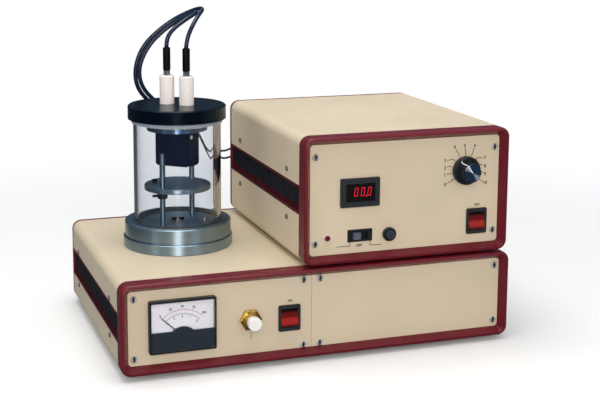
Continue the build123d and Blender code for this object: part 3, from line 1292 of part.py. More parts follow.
with BuildPart() as head_shield:
    with BuildSketch(HEAD.offset(SPIGOT_BASE)):
        Circle(FLANGE_RADIUS)
    extrude(amount=-FLANGE_THICK)
    with BuildSketch(HEAD.offset(SPIGOT_BASE - FLANGE_THICK)):
        RectangleRounded(SHIELD_WIDTH, SHIELD_DEPTH, SHIELD_CORNER)
    extrude(amount=-SHIELD_DROP)
    with BuildSketch(HEAD.offset(SPIGOT_BASE - FLANGE_THICK)):
        inside = 2 * SHIELD_WALL
        RectangleRounded(SHIELD_WIDTH - inside, SHIELD_DEPTH - inside, SHIELD_CORNER - SHIELD_WALL)
    extrude(amount=-SHIELD_DROP, mode=Mode.SUBTRACT)
    with BuildSketch(HEAD.offset(SPIGOT_BASE)):
        with Locations(*ELECTRODES):
            Circle(ELECTRODE_RADIUS + 1)
    extrude(amount=-FLANGE_THICK, mode=Mode.SUBTRACT)
finish(head_shield.part, "head_shield")

# Lead boots on the studs, the leads and their glands
BOOT_BASE = LID_TOP + INSULATOR_HEIGHT + STUD_HEIGHT
with BuildPart() as lead_boots:
    with BuildSketch(HEAD.offset(BOOT_BASE)):
        with Locations(*ELECTRODES):
            Circle(BOOT_RADIUS)
    extrude(amount=BOOT_HEIGHT * BOOT_STRAIGHT)
    with BuildSketch(HEAD.offset(BOOT_BASE + BOOT_HEIGHT * BOOT_STRAIGHT)):
        with Locations(*ELECTRODES):
            Circle(BOOT_RADIUS)
    extrude(amount=BOOT_HEIGHT * (1 - BOOT_STRAIGHT), taper=BOOT_TAPER)
finish(lead_boots.part, "lead_boots")

with BuildPart() as lead_glands:
    for x, z in GLANDS:
        with BuildSketch(facing_back(UPPER.back - REAR_RECESS, x, z)):
            RegularPolygon(GLAND_RADIUS, 6, major_radius=True)
        extrude(amount=GLAND_LENGTH / 2)
        with BuildSketch(facing_back(UPPER.back - REAR_RECESS + GLAND_LENGTH / 2, x, z)):
            Circle(GLAND_RADIUS * GLAND_CAP)
        extrude(amount=GLAND_LENGTH / 2, taper=GLAND_TAPER)
        with BuildSketch(facing_back(UPPER.back - REAR_RECESS, x, z)):
            Circle(GLAND_STEM)
        extrude(amount=-2 * PANEL_THICK)
finish(lead_glands.part, "lead_glands")


def bend_radii(points):
    """The radius of each bend: a share of its shorter run, over the tangent of half its turn."""
    radii = []
    for before, here, after in zip(points, points[1:], points[2:]):
        run_in = Vector(*here) - Vector(*before)
        run_out = Vector(*after) - Vector(*here)
        turn = radians(run_in.get_angle(run_out))
        radii.append(RADIUS_SHARE * min(run_in.length, run_out.length) / tan(turn / 2))
    return radii


def lead_tubes(routes, radius, label):
    """A tube along each route, and a printed check of its bends and volume."""
    with BuildPart() as tubes:
        for points in routes:
            radii = bend_radii(points)
            with BuildPart(mode=Mode.PRIVATE) as tube:
                with BuildLine() as route:
                    FilletPolyline(*points, radius=radii)
                start = Vector(*points[1]) - Vector(*points[0])
                with BuildSketch(Plane(origin=points[0], z_dir=start)):
                    Circle(radius)
                sweep()
            length = sum(edge.length for edge in route.line.edges())
            share = tube.part.volume / (pi * radius**2 * length)
            print(label, "length", round(length), "radii", [round(r) for r in radii], "fill", round(share, 4))
            add(tube.part)
    finish(tubes.part, label)


lead_tubes(HEAD_ROUTES, LEAD_RADIUS, "head_leads")
lead_tubes(SUPPLY_ROUTES, THIN_LEAD_RADIUS, "supply_leads")
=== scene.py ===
import math

import bpy
from mathutils import Matrix, Vector


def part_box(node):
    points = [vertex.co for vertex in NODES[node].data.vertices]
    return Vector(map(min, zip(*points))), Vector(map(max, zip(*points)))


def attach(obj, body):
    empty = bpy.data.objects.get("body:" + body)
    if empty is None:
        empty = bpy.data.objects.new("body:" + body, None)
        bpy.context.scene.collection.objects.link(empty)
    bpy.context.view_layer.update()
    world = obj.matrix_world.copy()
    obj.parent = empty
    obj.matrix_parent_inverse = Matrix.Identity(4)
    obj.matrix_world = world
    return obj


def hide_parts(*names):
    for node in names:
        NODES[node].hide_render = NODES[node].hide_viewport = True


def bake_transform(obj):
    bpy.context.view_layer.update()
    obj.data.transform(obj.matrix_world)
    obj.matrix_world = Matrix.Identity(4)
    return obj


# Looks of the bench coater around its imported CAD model. Metres, in the row frame.
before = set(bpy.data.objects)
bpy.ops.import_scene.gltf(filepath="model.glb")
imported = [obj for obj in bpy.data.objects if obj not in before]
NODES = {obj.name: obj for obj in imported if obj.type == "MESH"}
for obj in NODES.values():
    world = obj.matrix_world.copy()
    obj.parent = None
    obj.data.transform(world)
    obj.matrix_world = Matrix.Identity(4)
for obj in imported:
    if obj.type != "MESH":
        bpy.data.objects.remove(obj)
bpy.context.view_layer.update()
MM = 0.001
WHITE = (1, 1, 1, 1)


def middle(node):
    """Centre of a CAD node's box."""
    low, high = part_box(node)
    return (low + high) / 2


chamber = middle("base_ring")
front_of = {name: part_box(name)[0].y for name in ("control_panel", "upper_panel")}

# Camera
CAMERA_PLACE = Vector((-0.5183, -1.5525, 0.5416))
CAMERA_YAW = 0.3382
CAMERA_PITCH = 0.1665
CAMERA_ROLL = 0.006
CAMERA_LENS = 76.725
CAMERA_REACH = (0.05, 100)
PHOTO_WIDTH = 600
PRINCIPAL_POINT_RISE = 80


def make_camera():
    forward = Vector((
        math.sin(CAMERA_YAW) * math.cos(CAMERA_PITCH),
        math.cos(CAMERA_YAW) * math.cos(CAMERA_PITCH),
        -math.sin(CAMERA_PITCH),
    ))
    right = Vector((math.cos(CAMERA_YAW), -math.sin(CAMERA_YAW), 0))
    up = right.cross(forward)
    across = right * math.cos(CAMERA_ROLL) + up * math.sin(CAMERA_ROLL)
    upward = up * math.cos(CAMERA_ROLL) - right * math.sin(CAMERA_ROLL)
    data = bpy.data.cameras.new("camera")
    data.lens = CAMERA_LENS
    data.shift_y = -PRINCIPAL_POINT_RISE / PHOTO_WIDTH
    data.clip_start, data.clip_end = CAMERA_REACH
    camera = bpy.data.objects.new("camera", data)
    turn = Matrix((across, upward, -forward)).transposed().to_4x4()
    camera.matrix_world = Matrix.Translation(CAMERA_PLACE) @ turn
    bpy.context.scene.collection.objects.link(camera)
    bpy.context.scene.camera = camera


# Studio: a white backdrop, a pale floor that keeps the shadow, and soft lamps
WORLD_LIGHT = 0.5
WORLD_COLOUR = (0.93, 0.97, 1.0, 1)
ROOM_LOW = (0.035, 0.06, 0.09, 1)
ROOM_HIGH = (0.4, 0.47, 0.54, 1)
ROOM_RISE = (0.2, 0.8)
FLOOR_RADIUS = 30.0
FLOOR_SIDES = 96
FLOOR_COLOUR = (0.86, 0.86, 0.86, 1)
FLOOR_BOUNCE = (0.42, 0.43, 0.45, 1)
FLOOR_MIRRORED = (0.09, 0.1, 0.11, 1)
FLOOR_GLOW = 0.06
WHITE_FLOOR_RADII = (0.45, 1.2)
# Each lamp: its place, its width and height, its power, its colour and what it points at
LAMPS = {
    "top_softbox": ((-0.2, -0.1, 1.9), (1.3, 1.1), 22, (1.0, 0.98, 0.96), (0, 0, 0.2)),
    "front_softbox": ((0.9, -2.3, 1.0), (0.9, 0.9), 5, (1.0, 0.97, 0.95), (0.05, 0, 0.1)),
    "tall_strip": ((-0.76, -2.5, 0.82), (0.6, 1.6), 29, (1.0, 0.9, 0.83), (-0.1, 0, 0.1)),
    "side_strip": ((-1.9, -0.9, 0.9), (0.25, 1.2), 3, (0.86, 0.93, 1.0), (-0.1, 0, 0.2)),
}


def reckon(nodes, links, operation, *values):
    """The result of a sum on values, each a socket or a number."""
    node = nodes.new("ShaderNodeMath")
    node.operation = operation
    for socket, value in zip(node.inputs, values):
        if isinstance(value, bpy.types.NodeSocket):
            links.new(value, socket)
        else:
            socket.default_value = value
    return node.outputs[0]


def map_range(nodes, links, value, start, end):
    """A node that maps a value from start to end onto 0 to 1."""
    span = nodes.new("ShaderNodeMapRange")
    span.inputs["From Min"].default_value = start
    span.inputs["From Max"].default_value = end
    links.new(value, span.inputs["Value"])
    return span


def mix_shaders(nodes, links, factor, first, second):
    """The first shader at factor 0 and the second at factor 1."""
    mix = nodes.new("ShaderNodeMixShader")
    for socket, value in zip(mix.inputs, (factor, first, second)):
        links.new(value, socket)
    return mix.outputs[0]


def seen(nodes, links):
    """1 for rays straight from the camera or through glass, 0 once they have lit or mirrored."""
    path = nodes.new("ShaderNodeLightPath")
    bounces = reckon(nodes, links, "ADD", path.outputs["Diffuse Depth"], path.outputs["Glossy Depth"])
    return reckon(nodes, links, "LESS_THAN", bounces, 0.5)


def make_world():
    """White behind the object, even light on it, and a room to mirror that is dim below."""
    world = bpy.data.worlds.new("studio")
    bpy.context.scene.world = world
    world.use_nodes = True
    nodes, links = world.node_tree.nodes, world.node_tree.links
    nodes.clear()
    where = nodes.new("ShaderNodeTexCoord")
    split = nodes.new("ShaderNodeSeparateXYZ")
    links.new(where.outputs["Generated"], split.inputs[0])
    room = nodes.new("ShaderNodeValToRGB")
    room.color_ramp.elements[0].color = ROOM_LOW
    room.color_ramp.elements[1].color = ROOM_HIGH
    links.new(map_range(nodes, links, split.outputs["Z"], *ROOM_RISE).outputs[0], room.inputs[0])
    gloss = nodes.new("ShaderNodeBackground")
    links.new(room.outputs["Color"], gloss.inputs["Color"])
    light = nodes.new("ShaderNodeBackground")
    light.inputs["Color"].default_value = WORLD_COLOUR
    light.inputs["Strength"].default_value = WORLD_LIGHT
    white = nodes.new("ShaderNodeBackground")
    white.inputs["Color"].default_value = WHITE
    path = nodes.new("ShaderNodeLightPath")
    glossy = path.outputs["Is Glossy Ray"]
    around = mix_shaders(nodes, links, glossy, light.outputs[0], gloss.outputs[0])
    output = nodes.new("ShaderNodeOutputWorld")
    whole = mix_shaders(nodes, links, seen(nodes, links), around, white.outputs[0])
    links.new(whole, output.inputs[0])


def floor_material():
    """Pale with the shadow on it, white far away, and darker in what the object mirrors."""
    material = bpy.data.materials.new("pale_floor")
    material.use_nodes = True
    nodes, links = material.node_tree.nodes, material.node_tree.links
    nodes.clear()
    direct = seen(nodes, links)
    path = nodes.new("ShaderNodeLightPath")
    bounce = nodes.new("ShaderNodeMix")
    bounce.data_type = "RGBA"
    bounce.inputs["A"].default_value = FLOOR_BOUNCE
    bounce.inputs["B"].default_value = FLOOR_MIRRORED
    links.new(path.outputs["Is Glossy Ray"], bounce.inputs["Factor"])
    shade = nodes.new("ShaderNodeMix")
    shade.data_type = "RGBA"
    shade.inputs["B"].default_value = FLOOR_COLOUR
    links.new(bounce.outputs["Result"], shade.inputs["A"])
    links.new(direct, shade.inputs["Factor"])
    matt = nodes.new("ShaderNodeBsdfDiffuse")
    links.new(shade.outputs["Result"], matt.inputs["Color"])
    glow = nodes.new("ShaderNodeEmission")
    links.new(reckon(nodes, links, "MULTIPLY", direct, FLOOR_GLOW), glow.inputs["Strength"])
    near = nodes.new("ShaderNodeAddShader")
    links.new(matt.outputs[0], near.inputs[0])
    links.new(glow.outputs[0], near.inputs[1])
    where = nodes.new("ShaderNodeTexCoord")
    distance = nodes.new("ShaderNodeVectorMath")
    distance.operation = "LENGTH"
    links.new(where.outputs["Object"], distance.inputs[0])
    fade = map_range(nodes, links, distance.outputs["Value"], *WHITE_FLOOR_RADII)
    fade.interpolation_type = "SMOOTHSTEP"
    far = reckon(nodes, links, "MULTIPLY", fade.outputs[0], direct)
    white = nodes.new("ShaderNodeEmission")
    output = nodes.new("ShaderNodeOutputMaterial")
    links.new(mix_shaders(nodes, links, far, near.outputs[0], white.outputs[0]), output.inputs[0])
    return material


def make_floor():
    ring = []
    for side in range(FLOOR_SIDES):
        angle = 2 * math.pi * side / FLOOR_SIDES
        ring.append((FLOOR_RADIUS * math.cos(angle), FLOOR_RADIUS * math.sin(angle), 0))
    floor = new_piece("floor", ring, [list(range(FLOOR_SIDES))])
    floor.data.materials.append(floor_material())


def make_lamps():
    for name, (place, size, power, colour, target) in LAMPS.items():
        data = bpy.data.lights.new(name, "AREA")
        data.shape = "RECTANGLE"
        data.size, data.size_y = size
        data.energy = power
        data.color = colour
        lamp = bpy.data.objects.new(name, data)
        lamp.location = place
        direction = Vector(target) - Vector(place)
        lamp.rotation_mode = "QUATERNION"
        lamp.rotation_quaternion = direction.to_track_quat("-Z", "Y")
        bpy.context.scene.collection.objects.link(lamp)


# Pieces: the ways in which this script makes meshes
SHARP_EDGE = math.radians(35)


def new_piece(name, vertices, faces, smooth=False):
    mesh = bpy.data.meshes.new(name)
    mesh.from_pydata(vertices, [], faces)
    if smooth:
        mesh.shade_smooth()
    piece = bpy.data.objects.new(name, mesh)
    bpy.context.scene.collection.objects.link(piece)
    return piece


def turned_piece(name, profile, centre, sides):
    """A closed turned shape: its profile as radius and height, about a vertical axis."""
    vertices, faces = [], []
    count = len(profile)
    for k in range(sides):
        angle = 2 * math.pi * k / sides
        for radius, height in profile:
            vertices.append((
                centre[0] + radius * math.cos(angle), centre[1] + radius * math.sin(angle), height,
            ))
    for k in range(sides):
        turn = (k + 1) % sides
        for i in range(count):
            after = (i + 1) % count
            faces.append((k * count + i, turn * count + i, turn * count + after, k * count + after))
    piece = new_piece(name, vertices, faces, smooth=True)
    piece.data.set_sharp_from_angle(angle=SHARP_EDGE)
    return piece


def solid_of(name, outlines):
    """A closed prism through two outlines with the same number of points."""
    front, back = outlines
    count = len(front)
    faces = [list(range(count)), list(reversed(range(count, 2 * count)))]
    faces += [[k, k + count, (k + 1) % count + count, (k + 1) % count] for k in range(count)]
    return new_piece(name, [*front, *back], faces)


# Materials: kinds of surface
NOISE_SPAN = (0.3, 0.7)
GRAIN_HEIGHT = 0.00004
# Turn of the painted highlight on the spun cap
PAINTED_HIGHLIGHT_TURN = math.radians(138)
SHADOW_TINT = (0.94, 0.97, 0.96, 1)
BLUE_GLEAM = (0.45, 0.78, 1.0, 1)
AXIS_Y, AXIS_Z = 1, 2


def linear(red, green, blue):
    """A colour given as it looks on a screen, 0 to 255, as the shader wants it."""
    parts = []
    for value in (red, green, blue):
        value /= 255
        parts.append(value / 12.92 if value <= 0.04045 else ((value + 0.055) / 1.055) ** 2.4)
    return (*parts, 1)


def scaled(colour, factor):
    """A colour made darker or lighter."""
    return tuple(min(1, part * factor) for part in colour[:3]) + (1,)


class Look:
    """A Principled material and short ways to add nodes to it."""

    def __init__(self, name, colour, roughness=0.5, metallic=0.0):
        self.material = bpy.data.materials.new(name)
        self.material.use_nodes = True
        self.nodes = self.material.node_tree.nodes
        self.links = self.material.node_tree.links
        self.shader = self.nodes["Principled BSDF"]
        self.colour = colour
        self.set("Base Color", colour)
        self.set("Roughness", roughness)
        self.set("Metallic", metallic)

    def set(self, socket, value):
        self.shader.inputs[socket].default_value = value
        return self

    def place(self, stretch=(1, 1, 1), origin=(0, 0, 0)):
        """Coordinates on the object in metres, from an origin, stretched along the axes."""
        where = self.nodes.new("ShaderNodeTexCoord")
        shift = self.nodes.new("ShaderNodeVectorMath")
        shift.operation = "SUBTRACT"
        shift.inputs[1].default_value = origin
        scale = self.nodes.new("ShaderNodeVectorMath")
        scale.operation = "MULTIPLY"
        scale.inputs[1].default_value = stretch
        self.links.new(where.outputs["Object"], shift.inputs[0])
        self.links.new(shift.outputs[0], scale.inputs[0])
        return scale.outputs[0]

    def split_place(self, origin):
        """The three coordinates from an origin, each on its own."""
        split = self.nodes.new("ShaderNodeSeparateXYZ")
        self.links.new(self.place(origin=origin), split.inputs[0])
        return split.outputs

    def turned_place(self, axis, origin):
        """Coordinates that follow lathe marks about an axis: radius and height."""
        split = self.split_place(origin)
        first, second = [i for i in range(3) if i != axis]
        flat = self.nodes.new("ShaderNodeCombineXYZ")
        self.links.new(split[first], flat.inputs[0])
        self.links.new(split[second], flat.inputs[1])
        length = self.nodes.new("ShaderNodeVectorMath")
        length.operation = "LENGTH"
        self.links.new(flat.outputs[0], length.inputs[0])
        joined = self.nodes.new("ShaderNodeCombineXYZ")
        self.links.new(length.outputs["Value"], joined.inputs[0])
        self.links.new(split[axis], joined.inputs[1])
        return joined.outputs[0]

    def noise(self, scale, detail=3.0, vector=None):
        texture = self.nodes.new("ShaderNodeTexNoise")
        texture.inputs["Scale"].default_value = scale
        texture.inputs["Detail"].default_value = detail
        self.links.new(vector or self.place(), texture.inputs["Vector"])
        return texture.outputs["Fac"]

    def ramp(self, value, low, high, start=0.35, end=0.65):
        """Two colours or greys along a value."""
        ramp = self.nodes.new("ShaderNodeValToRGB")
        ramp.color_ramp.elements[0].position = start
        ramp.color_ramp.elements[1].position = end
        ramp.color_ramp.elements[0].color = low
        ramp.color_ramp.elements[1].color = high
        self.links.new(value, ramp.inputs[0])
        return ramp.outputs["Color"]

    def shades(self, value, spread):
        """The base colour from a little darker to a little lighter along a value."""
        colours = self.ramp(value, scaled(self.colour, 1 - spread), scaled(self.colour, 1 + spread))
        self.links.new(colours, self.shader.inputs["Base Color"])
        return self

    def gloss(self, value, smooth, rough):
        """Roughness that varies along a value."""
        spread = map_range(self.nodes, self.links, value, *NOISE_SPAN)
        spread.inputs["To Min"].default_value = smooth
        spread.inputs["To Max"].default_value = rough
        self.links.new(spread.outputs[0], self.shader.inputs["Roughness"])
        return self

    def bump(self, value, height, strength):
        bump = self.nodes.new("ShaderNodeBump")
        bump.inputs["Strength"].default_value = strength
        bump.inputs["Distance"].default_value = height
        self.links.new(value, bump.inputs["Height"])
        self.links.new(bump.outputs["Normal"], self.shader.inputs["Normal"])
        return self


def textured_paint(name, colour):
    """Powder coat with a fine grain and a slow change of tone."""
    look = Look(name, colour)
    look.shades(look.noise(9, 2), 0.03)
    look.gloss(look.noise(60, 2), 0.42, 0.58)
    look.bump(look.noise(1500, 1), 0.00008, 0.35)
    return look.material


def moulded(name, colour, roughness=0.4, spread=0.06, grain=900, height=GRAIN_HEIGHT, sheen=0.5):
    """Moulded plastic or rubber: slight unevenness of colour, sheen and surface."""
    look = Look(name, colour, roughness)
    look.set("Specular IOR Level", sheen)
    look.shades(look.noise(45, 3), spread)
    look.gloss(look.noise(110, 3), roughness - 0.07, roughness + 0.1)
    look.bump(look.noise(grain, 2), height, 0.3)
    return look.material


def smooth_moulded(name, colour, roughness, spread, sheen=0.5, gleam=WHITE):
    """A smooth surface without grain, whose gloss may have a tint."""
    look = Look(name, colour, roughness)
    look.set("Specular IOR Level", sheen)
    look.set("Specular Tint", gleam)
    look.shades(look.noise(45, 3), spread)
    return look.material


def turned_metal(name, colour, axis, origin, roughness=0.34, spread=0.05, marks=500):
    """Metal from the lathe: fine rings about its own axis."""
    look = Look(name, colour, roughness, 1.0)
    rings = look.noise(marks, 2, look.turned_place(axis, origin))
    look.shades(rings, spread)
    look.gloss(rings, roughness - 0.02, roughness + 0.04)
    look.set("Anisotropic", 0.85)
    look.set("Anisotropic Rotation", 0.25)
    tangent = look.nodes.new("ShaderNodeTangent")
    tangent.direction_type = "RADIAL"
    tangent.axis = "XYZ"[axis]
    look.links.new(tangent.outputs[0], look.shader.inputs["Tangent"])
    return look.material


def spun_metal_painted_highlight(name, dark, light, origin):
    """Spun cap facing the front: dark, with a painted highlight in two opposite pale wedges."""
    look = Look(name, dark, 0.3, 0.8)
    nodes, links = look.nodes, look.links
    split = look.split_place(origin)
    # The pale wedges are a painted highlight, set by the angle about the cap's centre
    angle = reckon(nodes, links, "ARCTAN2", split["Z"], split["X"])
    turned = reckon(nodes, links, "SUBTRACT", angle, PAINTED_HIGHLIGHT_TURN)
    wave = reckon(nodes, links, "COSINE", turned)
    wedges = look.ramp(reckon(nodes, links, "ABSOLUTE", wave), dark, light, 0.9, 1.0)
    links.new(wedges, look.shader.inputs["Base Color"])
    return look.material


def bright_screw(name, colour):
    """Plated screw head, part metal so that it stays pale against dark surroundings."""
    look = Look(name, colour, 0.34, 0.5)
    look.shades(look.noise(45, 3), 0.08)
    return look.material


def brushed_metal(name, colour, roughness=0.35, stretch=(60, 60, 1800), spread=0.1):
    """Metal with straight brush lines."""
    look = Look(name, colour, roughness, 1.0)
    lines = look.noise(1, 2, look.place(stretch))
    look.shades(lines, spread)
    look.gloss(lines, roughness - 0.03, roughness + 0.06)
    return look.material


def clear(name, tint, index=1.47):
    """Clear glass or plastic that lets the lamps light what is behind it."""
    look = Look(name, tint, 0.0)
    look.set("IOR", index)
    look.set("Transmission Weight", 1.0)
    path = look.nodes.new("ShaderNodeLightPath")
    through = look.nodes.new("ShaderNodeBsdfTransparent")
    through.inputs["Color"].default_value = SHADOW_TINT
    surface, shadow = look.shader.outputs[0], path.outputs["Is Shadow Ray"]
    mix = mix_shaders(look.nodes, look.links, shadow, surface, through.outputs[0])
    look.links.new(mix, look.nodes["Material Output"].inputs["Surface"])
    return look.material


def red_lens(name, colour, glow):
    """Red moulding with a little light behind it."""
    look = Look(name, colour, 0.3)
    look.shades(look.noise(260, 3), 0.3)
    look.set("Specular IOR Level", 0.25)
    look.set("Emission Color", colour)
    look.set("Emission Strength", glow)
    return look.material


def rocker_red(name, node):
    """Red rocker with painted light: a lighter band painted in its lower half, and painted shade
    darkening it to near black along its top.
    """
    low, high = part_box(node)
    look = Look(name, ROCKER_DARK, 0.3)
    look.set("Specular IOR Level", 0.2)
    rise = map_range(look.nodes, look.links, look.split_place(low)["Z"], 0, high.z - low.z)
    ramp = look.nodes.new("ShaderNodeValToRGB")
    steps = ramp.color_ramp.elements
    steps[0].position, steps[0].color = 0.08, ROCKER_DARK
    # Near black at the top is painted shade; the bands below add painted light in the lower half
    steps[1].position, steps[1].color = 0.92, scaled(ROCKER_DARK, 0.12)
    for position, colour in ROCKER_PAINTED_LIGHT_BANDS:
        steps.new(position).color = colour
    look.links.new(rise.outputs[0], ramp.inputs[0])
    look.links.new(ramp.outputs["Color"], look.shader.inputs["Base Color"])
    return look.material


def printed(name, colour, spread=0.1):
    """Silk-screen ink or printed paper."""
    look = Look(name, colour, 0.55)
    look.shades(look.noise(700, 2), spread)
    return look.material


# Colours
CREAM = linear(214, 199, 172)
CREAM_FRONT = linear(212, 197, 170)
BURGUNDY = linear(101, 22, 34)
BURGUNDY_RAIL = linear(84, 22, 32)
STRIP_BLACK = linear(24, 26, 34)
NEAR_BLACK = linear(24, 27, 32)
DARK_GREY = linear(38, 42, 47)
INK = linear(36, 34, 34)
SCALE_RED = linear(196, 40, 48)
LID_NAVY = linear(3, 9, 19)
SHIELD_NAVY = linear(2, 13, 44)
LEAD_BLUE = linear(10, 26, 56)
BOOT_BLACK = linear(3, 5, 9)
ALUMINIUM = linear(146, 166, 180)
FLANGE_BLUE = linear(112, 144, 184)
POST_STEEL = linear(120, 140, 160)
STEEL = linear(150, 154, 158)
SCREW_STEEL = linear(214, 215, 216)
# Screw steel darkened all over: painted shade for the recesses in the cover screws' heads
COVER_SCREW_WITH_PAINTED_SHADE = linear(104, 100, 92)
BRASS = linear(214, 178, 96)
COPPER = linear(200, 120, 80)
IRON = linear(92, 80, 66)
BOARD_GREEN = linear(38, 92, 62)
WHITE_PLASTIC = linear(240, 240, 238)
CERAMIC = linear(245, 239, 235)
PTFE = linear(206, 210, 206)
SILICONE = linear(150, 160, 174)
RUBBER = linear(22, 22, 24)
# Seal rubber, darkened in part as painted shade
SEAL_RUBBER_WITH_PAINTED_SHADE = linear(52, 58, 64)
CARBON = linear(30, 30, 33)
DIAL_PAPER = linear(226, 225, 234)
NEEDLE_BLACK = linear(20, 20, 24)
LAMP_RING = linear(222, 212, 202)
LAMP_RED = linear(104, 12, 18)
DIGIT_RED = linear(214, 24, 44)
# The rockers' red, and the lighter red painted as light on their lower halves
ROCKER_DARK = linear(98, 14, 14)
ROCKER_PAINTED_LIGHT = linear(158, 30, 24)
ROCKER_PAINTED_LIGHT_BANDS = ((0.2, ROCKER_PAINTED_LIGHT), (0.45, ROCKER_PAINTED_LIGHT), (0.6, ROCKER_DARK), (0.8, ROCKER_DARK))
# The spun cap's dark metal and its painted highlight
CAP_DARK = linear(52, 76, 110)
CAP_PAINTED_HIGHLIGHT = linear(216, 226, 236)
DISPLAY_SMOKE = linear(14, 8, 10)
SLIDER_GREY = linear(84, 92, 104)
BUTTON_BLUE = linear(44, 52, 64)
MASK_BLUE = linear(26, 34, 44)
# Matt black for the stage screw, and as painted shade in the floor slots
SCREW_BLACK_AND_SLOT_SHADE = linear(8, 10, 14)
POINTER_WHITE = linear(238, 238, 236)
GLASS_TINT = (0.872, 0.893, 0.92, 1)
WINDOW_TINT = (0.97, 0.98, 1.0, 1)


def case_materials():
    """The two cases outside, by CAD node."""
    cover = textured_paint("cover_paint", CREAM)
    front = textured_paint("front_paint", CREAM_FRONT)
    bezel = moulded("burgundy_moulding", BURGUNDY, 0.34, 0.05, sheen=0.35)
    return {
        "lower_front_bezel": bezel, "upper_front_bezel": bezel, "rear_bezels": bezel,
        "lower_top_cover": cover, "upper_top_cover": cover, "bottom_covers": cover,
        "rear_panels": cover, "control_panel": front, "blank_panel": front, "upper_panel": front,
        "side_rails": moulded("rail_paint", BURGUNDY_RAIL, 0.45, 0.05, sheen=0.15),
        "side_strips": moulded("slate_strip", STRIP_BLACK, 0.5, sheen=0.1),
        "panel_screws": bright_screw("screw_steel", SCREW_STEEL),
        # Cover screws darkened as a whole: painted shade for their head recesses
        "cover_screws": smooth_moulded("cover_screw_steel", COVER_SCREW_WITH_PAINTED_SHADE, 0.35, 0.1),
        "feet": moulded("foot_rubber", RUBBER, 0.7, 0.1),
    }


def instrument_materials(black):
    """What stands in the fronts, and the connections behind, by CAD node."""
    grey = moulded("dark_grey_plastic", DARK_GREY, 0.42, sheen=0.35)
    return {
        "meter_case": black, "mode_switch": black, "button_switch": black, "voltage_knob": black,
        "mains_inlets": black, "lead_glands": black, "rocker_frames": grey, "display_case": grey,
        "meter_dial": printed("dial_paper", DIAL_PAPER, 0.01),
        "meter_needle": printed("needle_black", NEEDLE_BLACK),
        "meter_window": clear("meter_glass", WINDOW_TINT, 1.45),
        "leak_valve": turned_metal("turned_brass", BRASS, AXIS_Y, middle("leak_valve"), 0.22, 0.1, 900),
        "leak_knob": moulded("white_plastic", WHITE_PLASTIC, 0.35, 0.02),
        "lower_rocker": rocker_red("rocker_red_lower", "lower_rocker"),
        "upper_rocker": rocker_red("rocker_red_upper", "upper_rocker"),
        "display_window": moulded("display_face", DISPLAY_SMOKE, 0.12, 0.05),
        "mode_slider": moulded("grey_actuator", SLIDER_GREY),
        "pulse_button": moulded("button_cap", BUTTON_BLUE, 0.35, 0.04),
        "lamp_bezel": moulded("lamp_ring", LAMP_RING, 0.35, 0.02),
        "lamp_lens": red_lens("lamp_red", LAMP_RED, 0.01),
        "voltage_knob_cap": spun_metal_painted_highlight("spun_cap", CAP_DARK, CAP_PAINTED_HIGHLIGHT, middle("voltage_knob_cap")),
    }


def chamber_materials(black, steel):
    """The work chamber, its head and the leads, by CAD node."""
    base = turned_metal("base_aluminium", ALUMINIUM, AXIS_Z, chamber, spread=0.015, marks=300)
    lead = smooth_moulded("lead_silicone", LEAD_BLUE, 0.3, 0.03)
    return {
        "base_ring": base, "base_collar": base, "chamber_ports": steel, "electrodes": steel,
        "head_leads": lead, "supply_leads": lead, "stage_clamp": black,
        "glass_cylinder": clear("chamber_glass", GLASS_TINT),
        # Dark grey for the seal at the glass's foot, partly painted shade of its recess
        "glass_seals": moulded("seal_rubber", SEAL_RUBBER_WITH_PAINTED_SHADE, 0.45, 0.1),
        "lid": smooth_moulded("lid_black", LID_NAVY, 0.25, 0.02, 0.17, BLUE_GLEAM),
        "insulating_disc": moulded("insulating_white", PTFE, 0.5, 0.02),
        "head_shield": smooth_moulded("shield_blue", SHIELD_NAVY, 0.3, 0.1, 0.1, BLUE_GLEAM),
        "insulators": moulded("glazed_ceramic", CERAMIC, 0.22, 0.02, 300, 0.00003),
        "lead_boots": smooth_moulded("boot_rubber", BOOT_BLACK, 0.5, 0.05, 0.15),
        "carbon_rods": moulded("carbon", CARBON, 0.55, 0.2),
        "stage_disc": turned_metal("stage_aluminium", ALUMINIUM, AXIS_Z, chamber),
        "stage_posts": turned_metal("post_steel", POST_STEEL, AXIS_Z, chamber, 0.36, 0.02, 300),
    }


def inside_materials(steel):
    """What the cases hold, and the hose port, by CAD node."""
    iron = moulded("iron", IRON, 0.5, 0.15)
    return {
        "transformers": iron, "voltage_control": iron, "vacuum_manifold": steel, "gauge_head": steel,
        "hose_port": steel,
        "circuit_boards": moulded("board_green", BOARD_GREEN, 0.4, 0.1),
        "gas_tube": brushed_metal("copper_tube", COPPER, 0.3),
    }


def node_materials():
    """The material of every CAD node."""
    black = moulded("black_plastic", NEAR_BLACK, 0.38, sheen=0.3)
    steel = brushed_metal("plain_steel", STEEL)
    return {
        **case_materials(), **instrument_materials(black), **chamber_materials(black, steel),
        **inside_materials(steel),
    }


def dress_nodes(materials):
    for name, node in NODES.items():
        node.data.materials.clear()
        node.data.materials.append(materials[name])


def dress_upper_seal():
    """The seal below the lid is pale silicone; the one at the glass's foot stays dark grey, partly
    painted shade from the recess it sits in.
    """
    seals = NODES["glass_seals"]
    seals.data.materials.append(moulded("upper_seal_silicone", SILICONE, 0.4, 0.03))
    halfway = middle("glass_seals").z
    for face in seals.data.polygons:
        if (seals.matrix_world @ face.center).z > halfway:
            face.material_index = 1


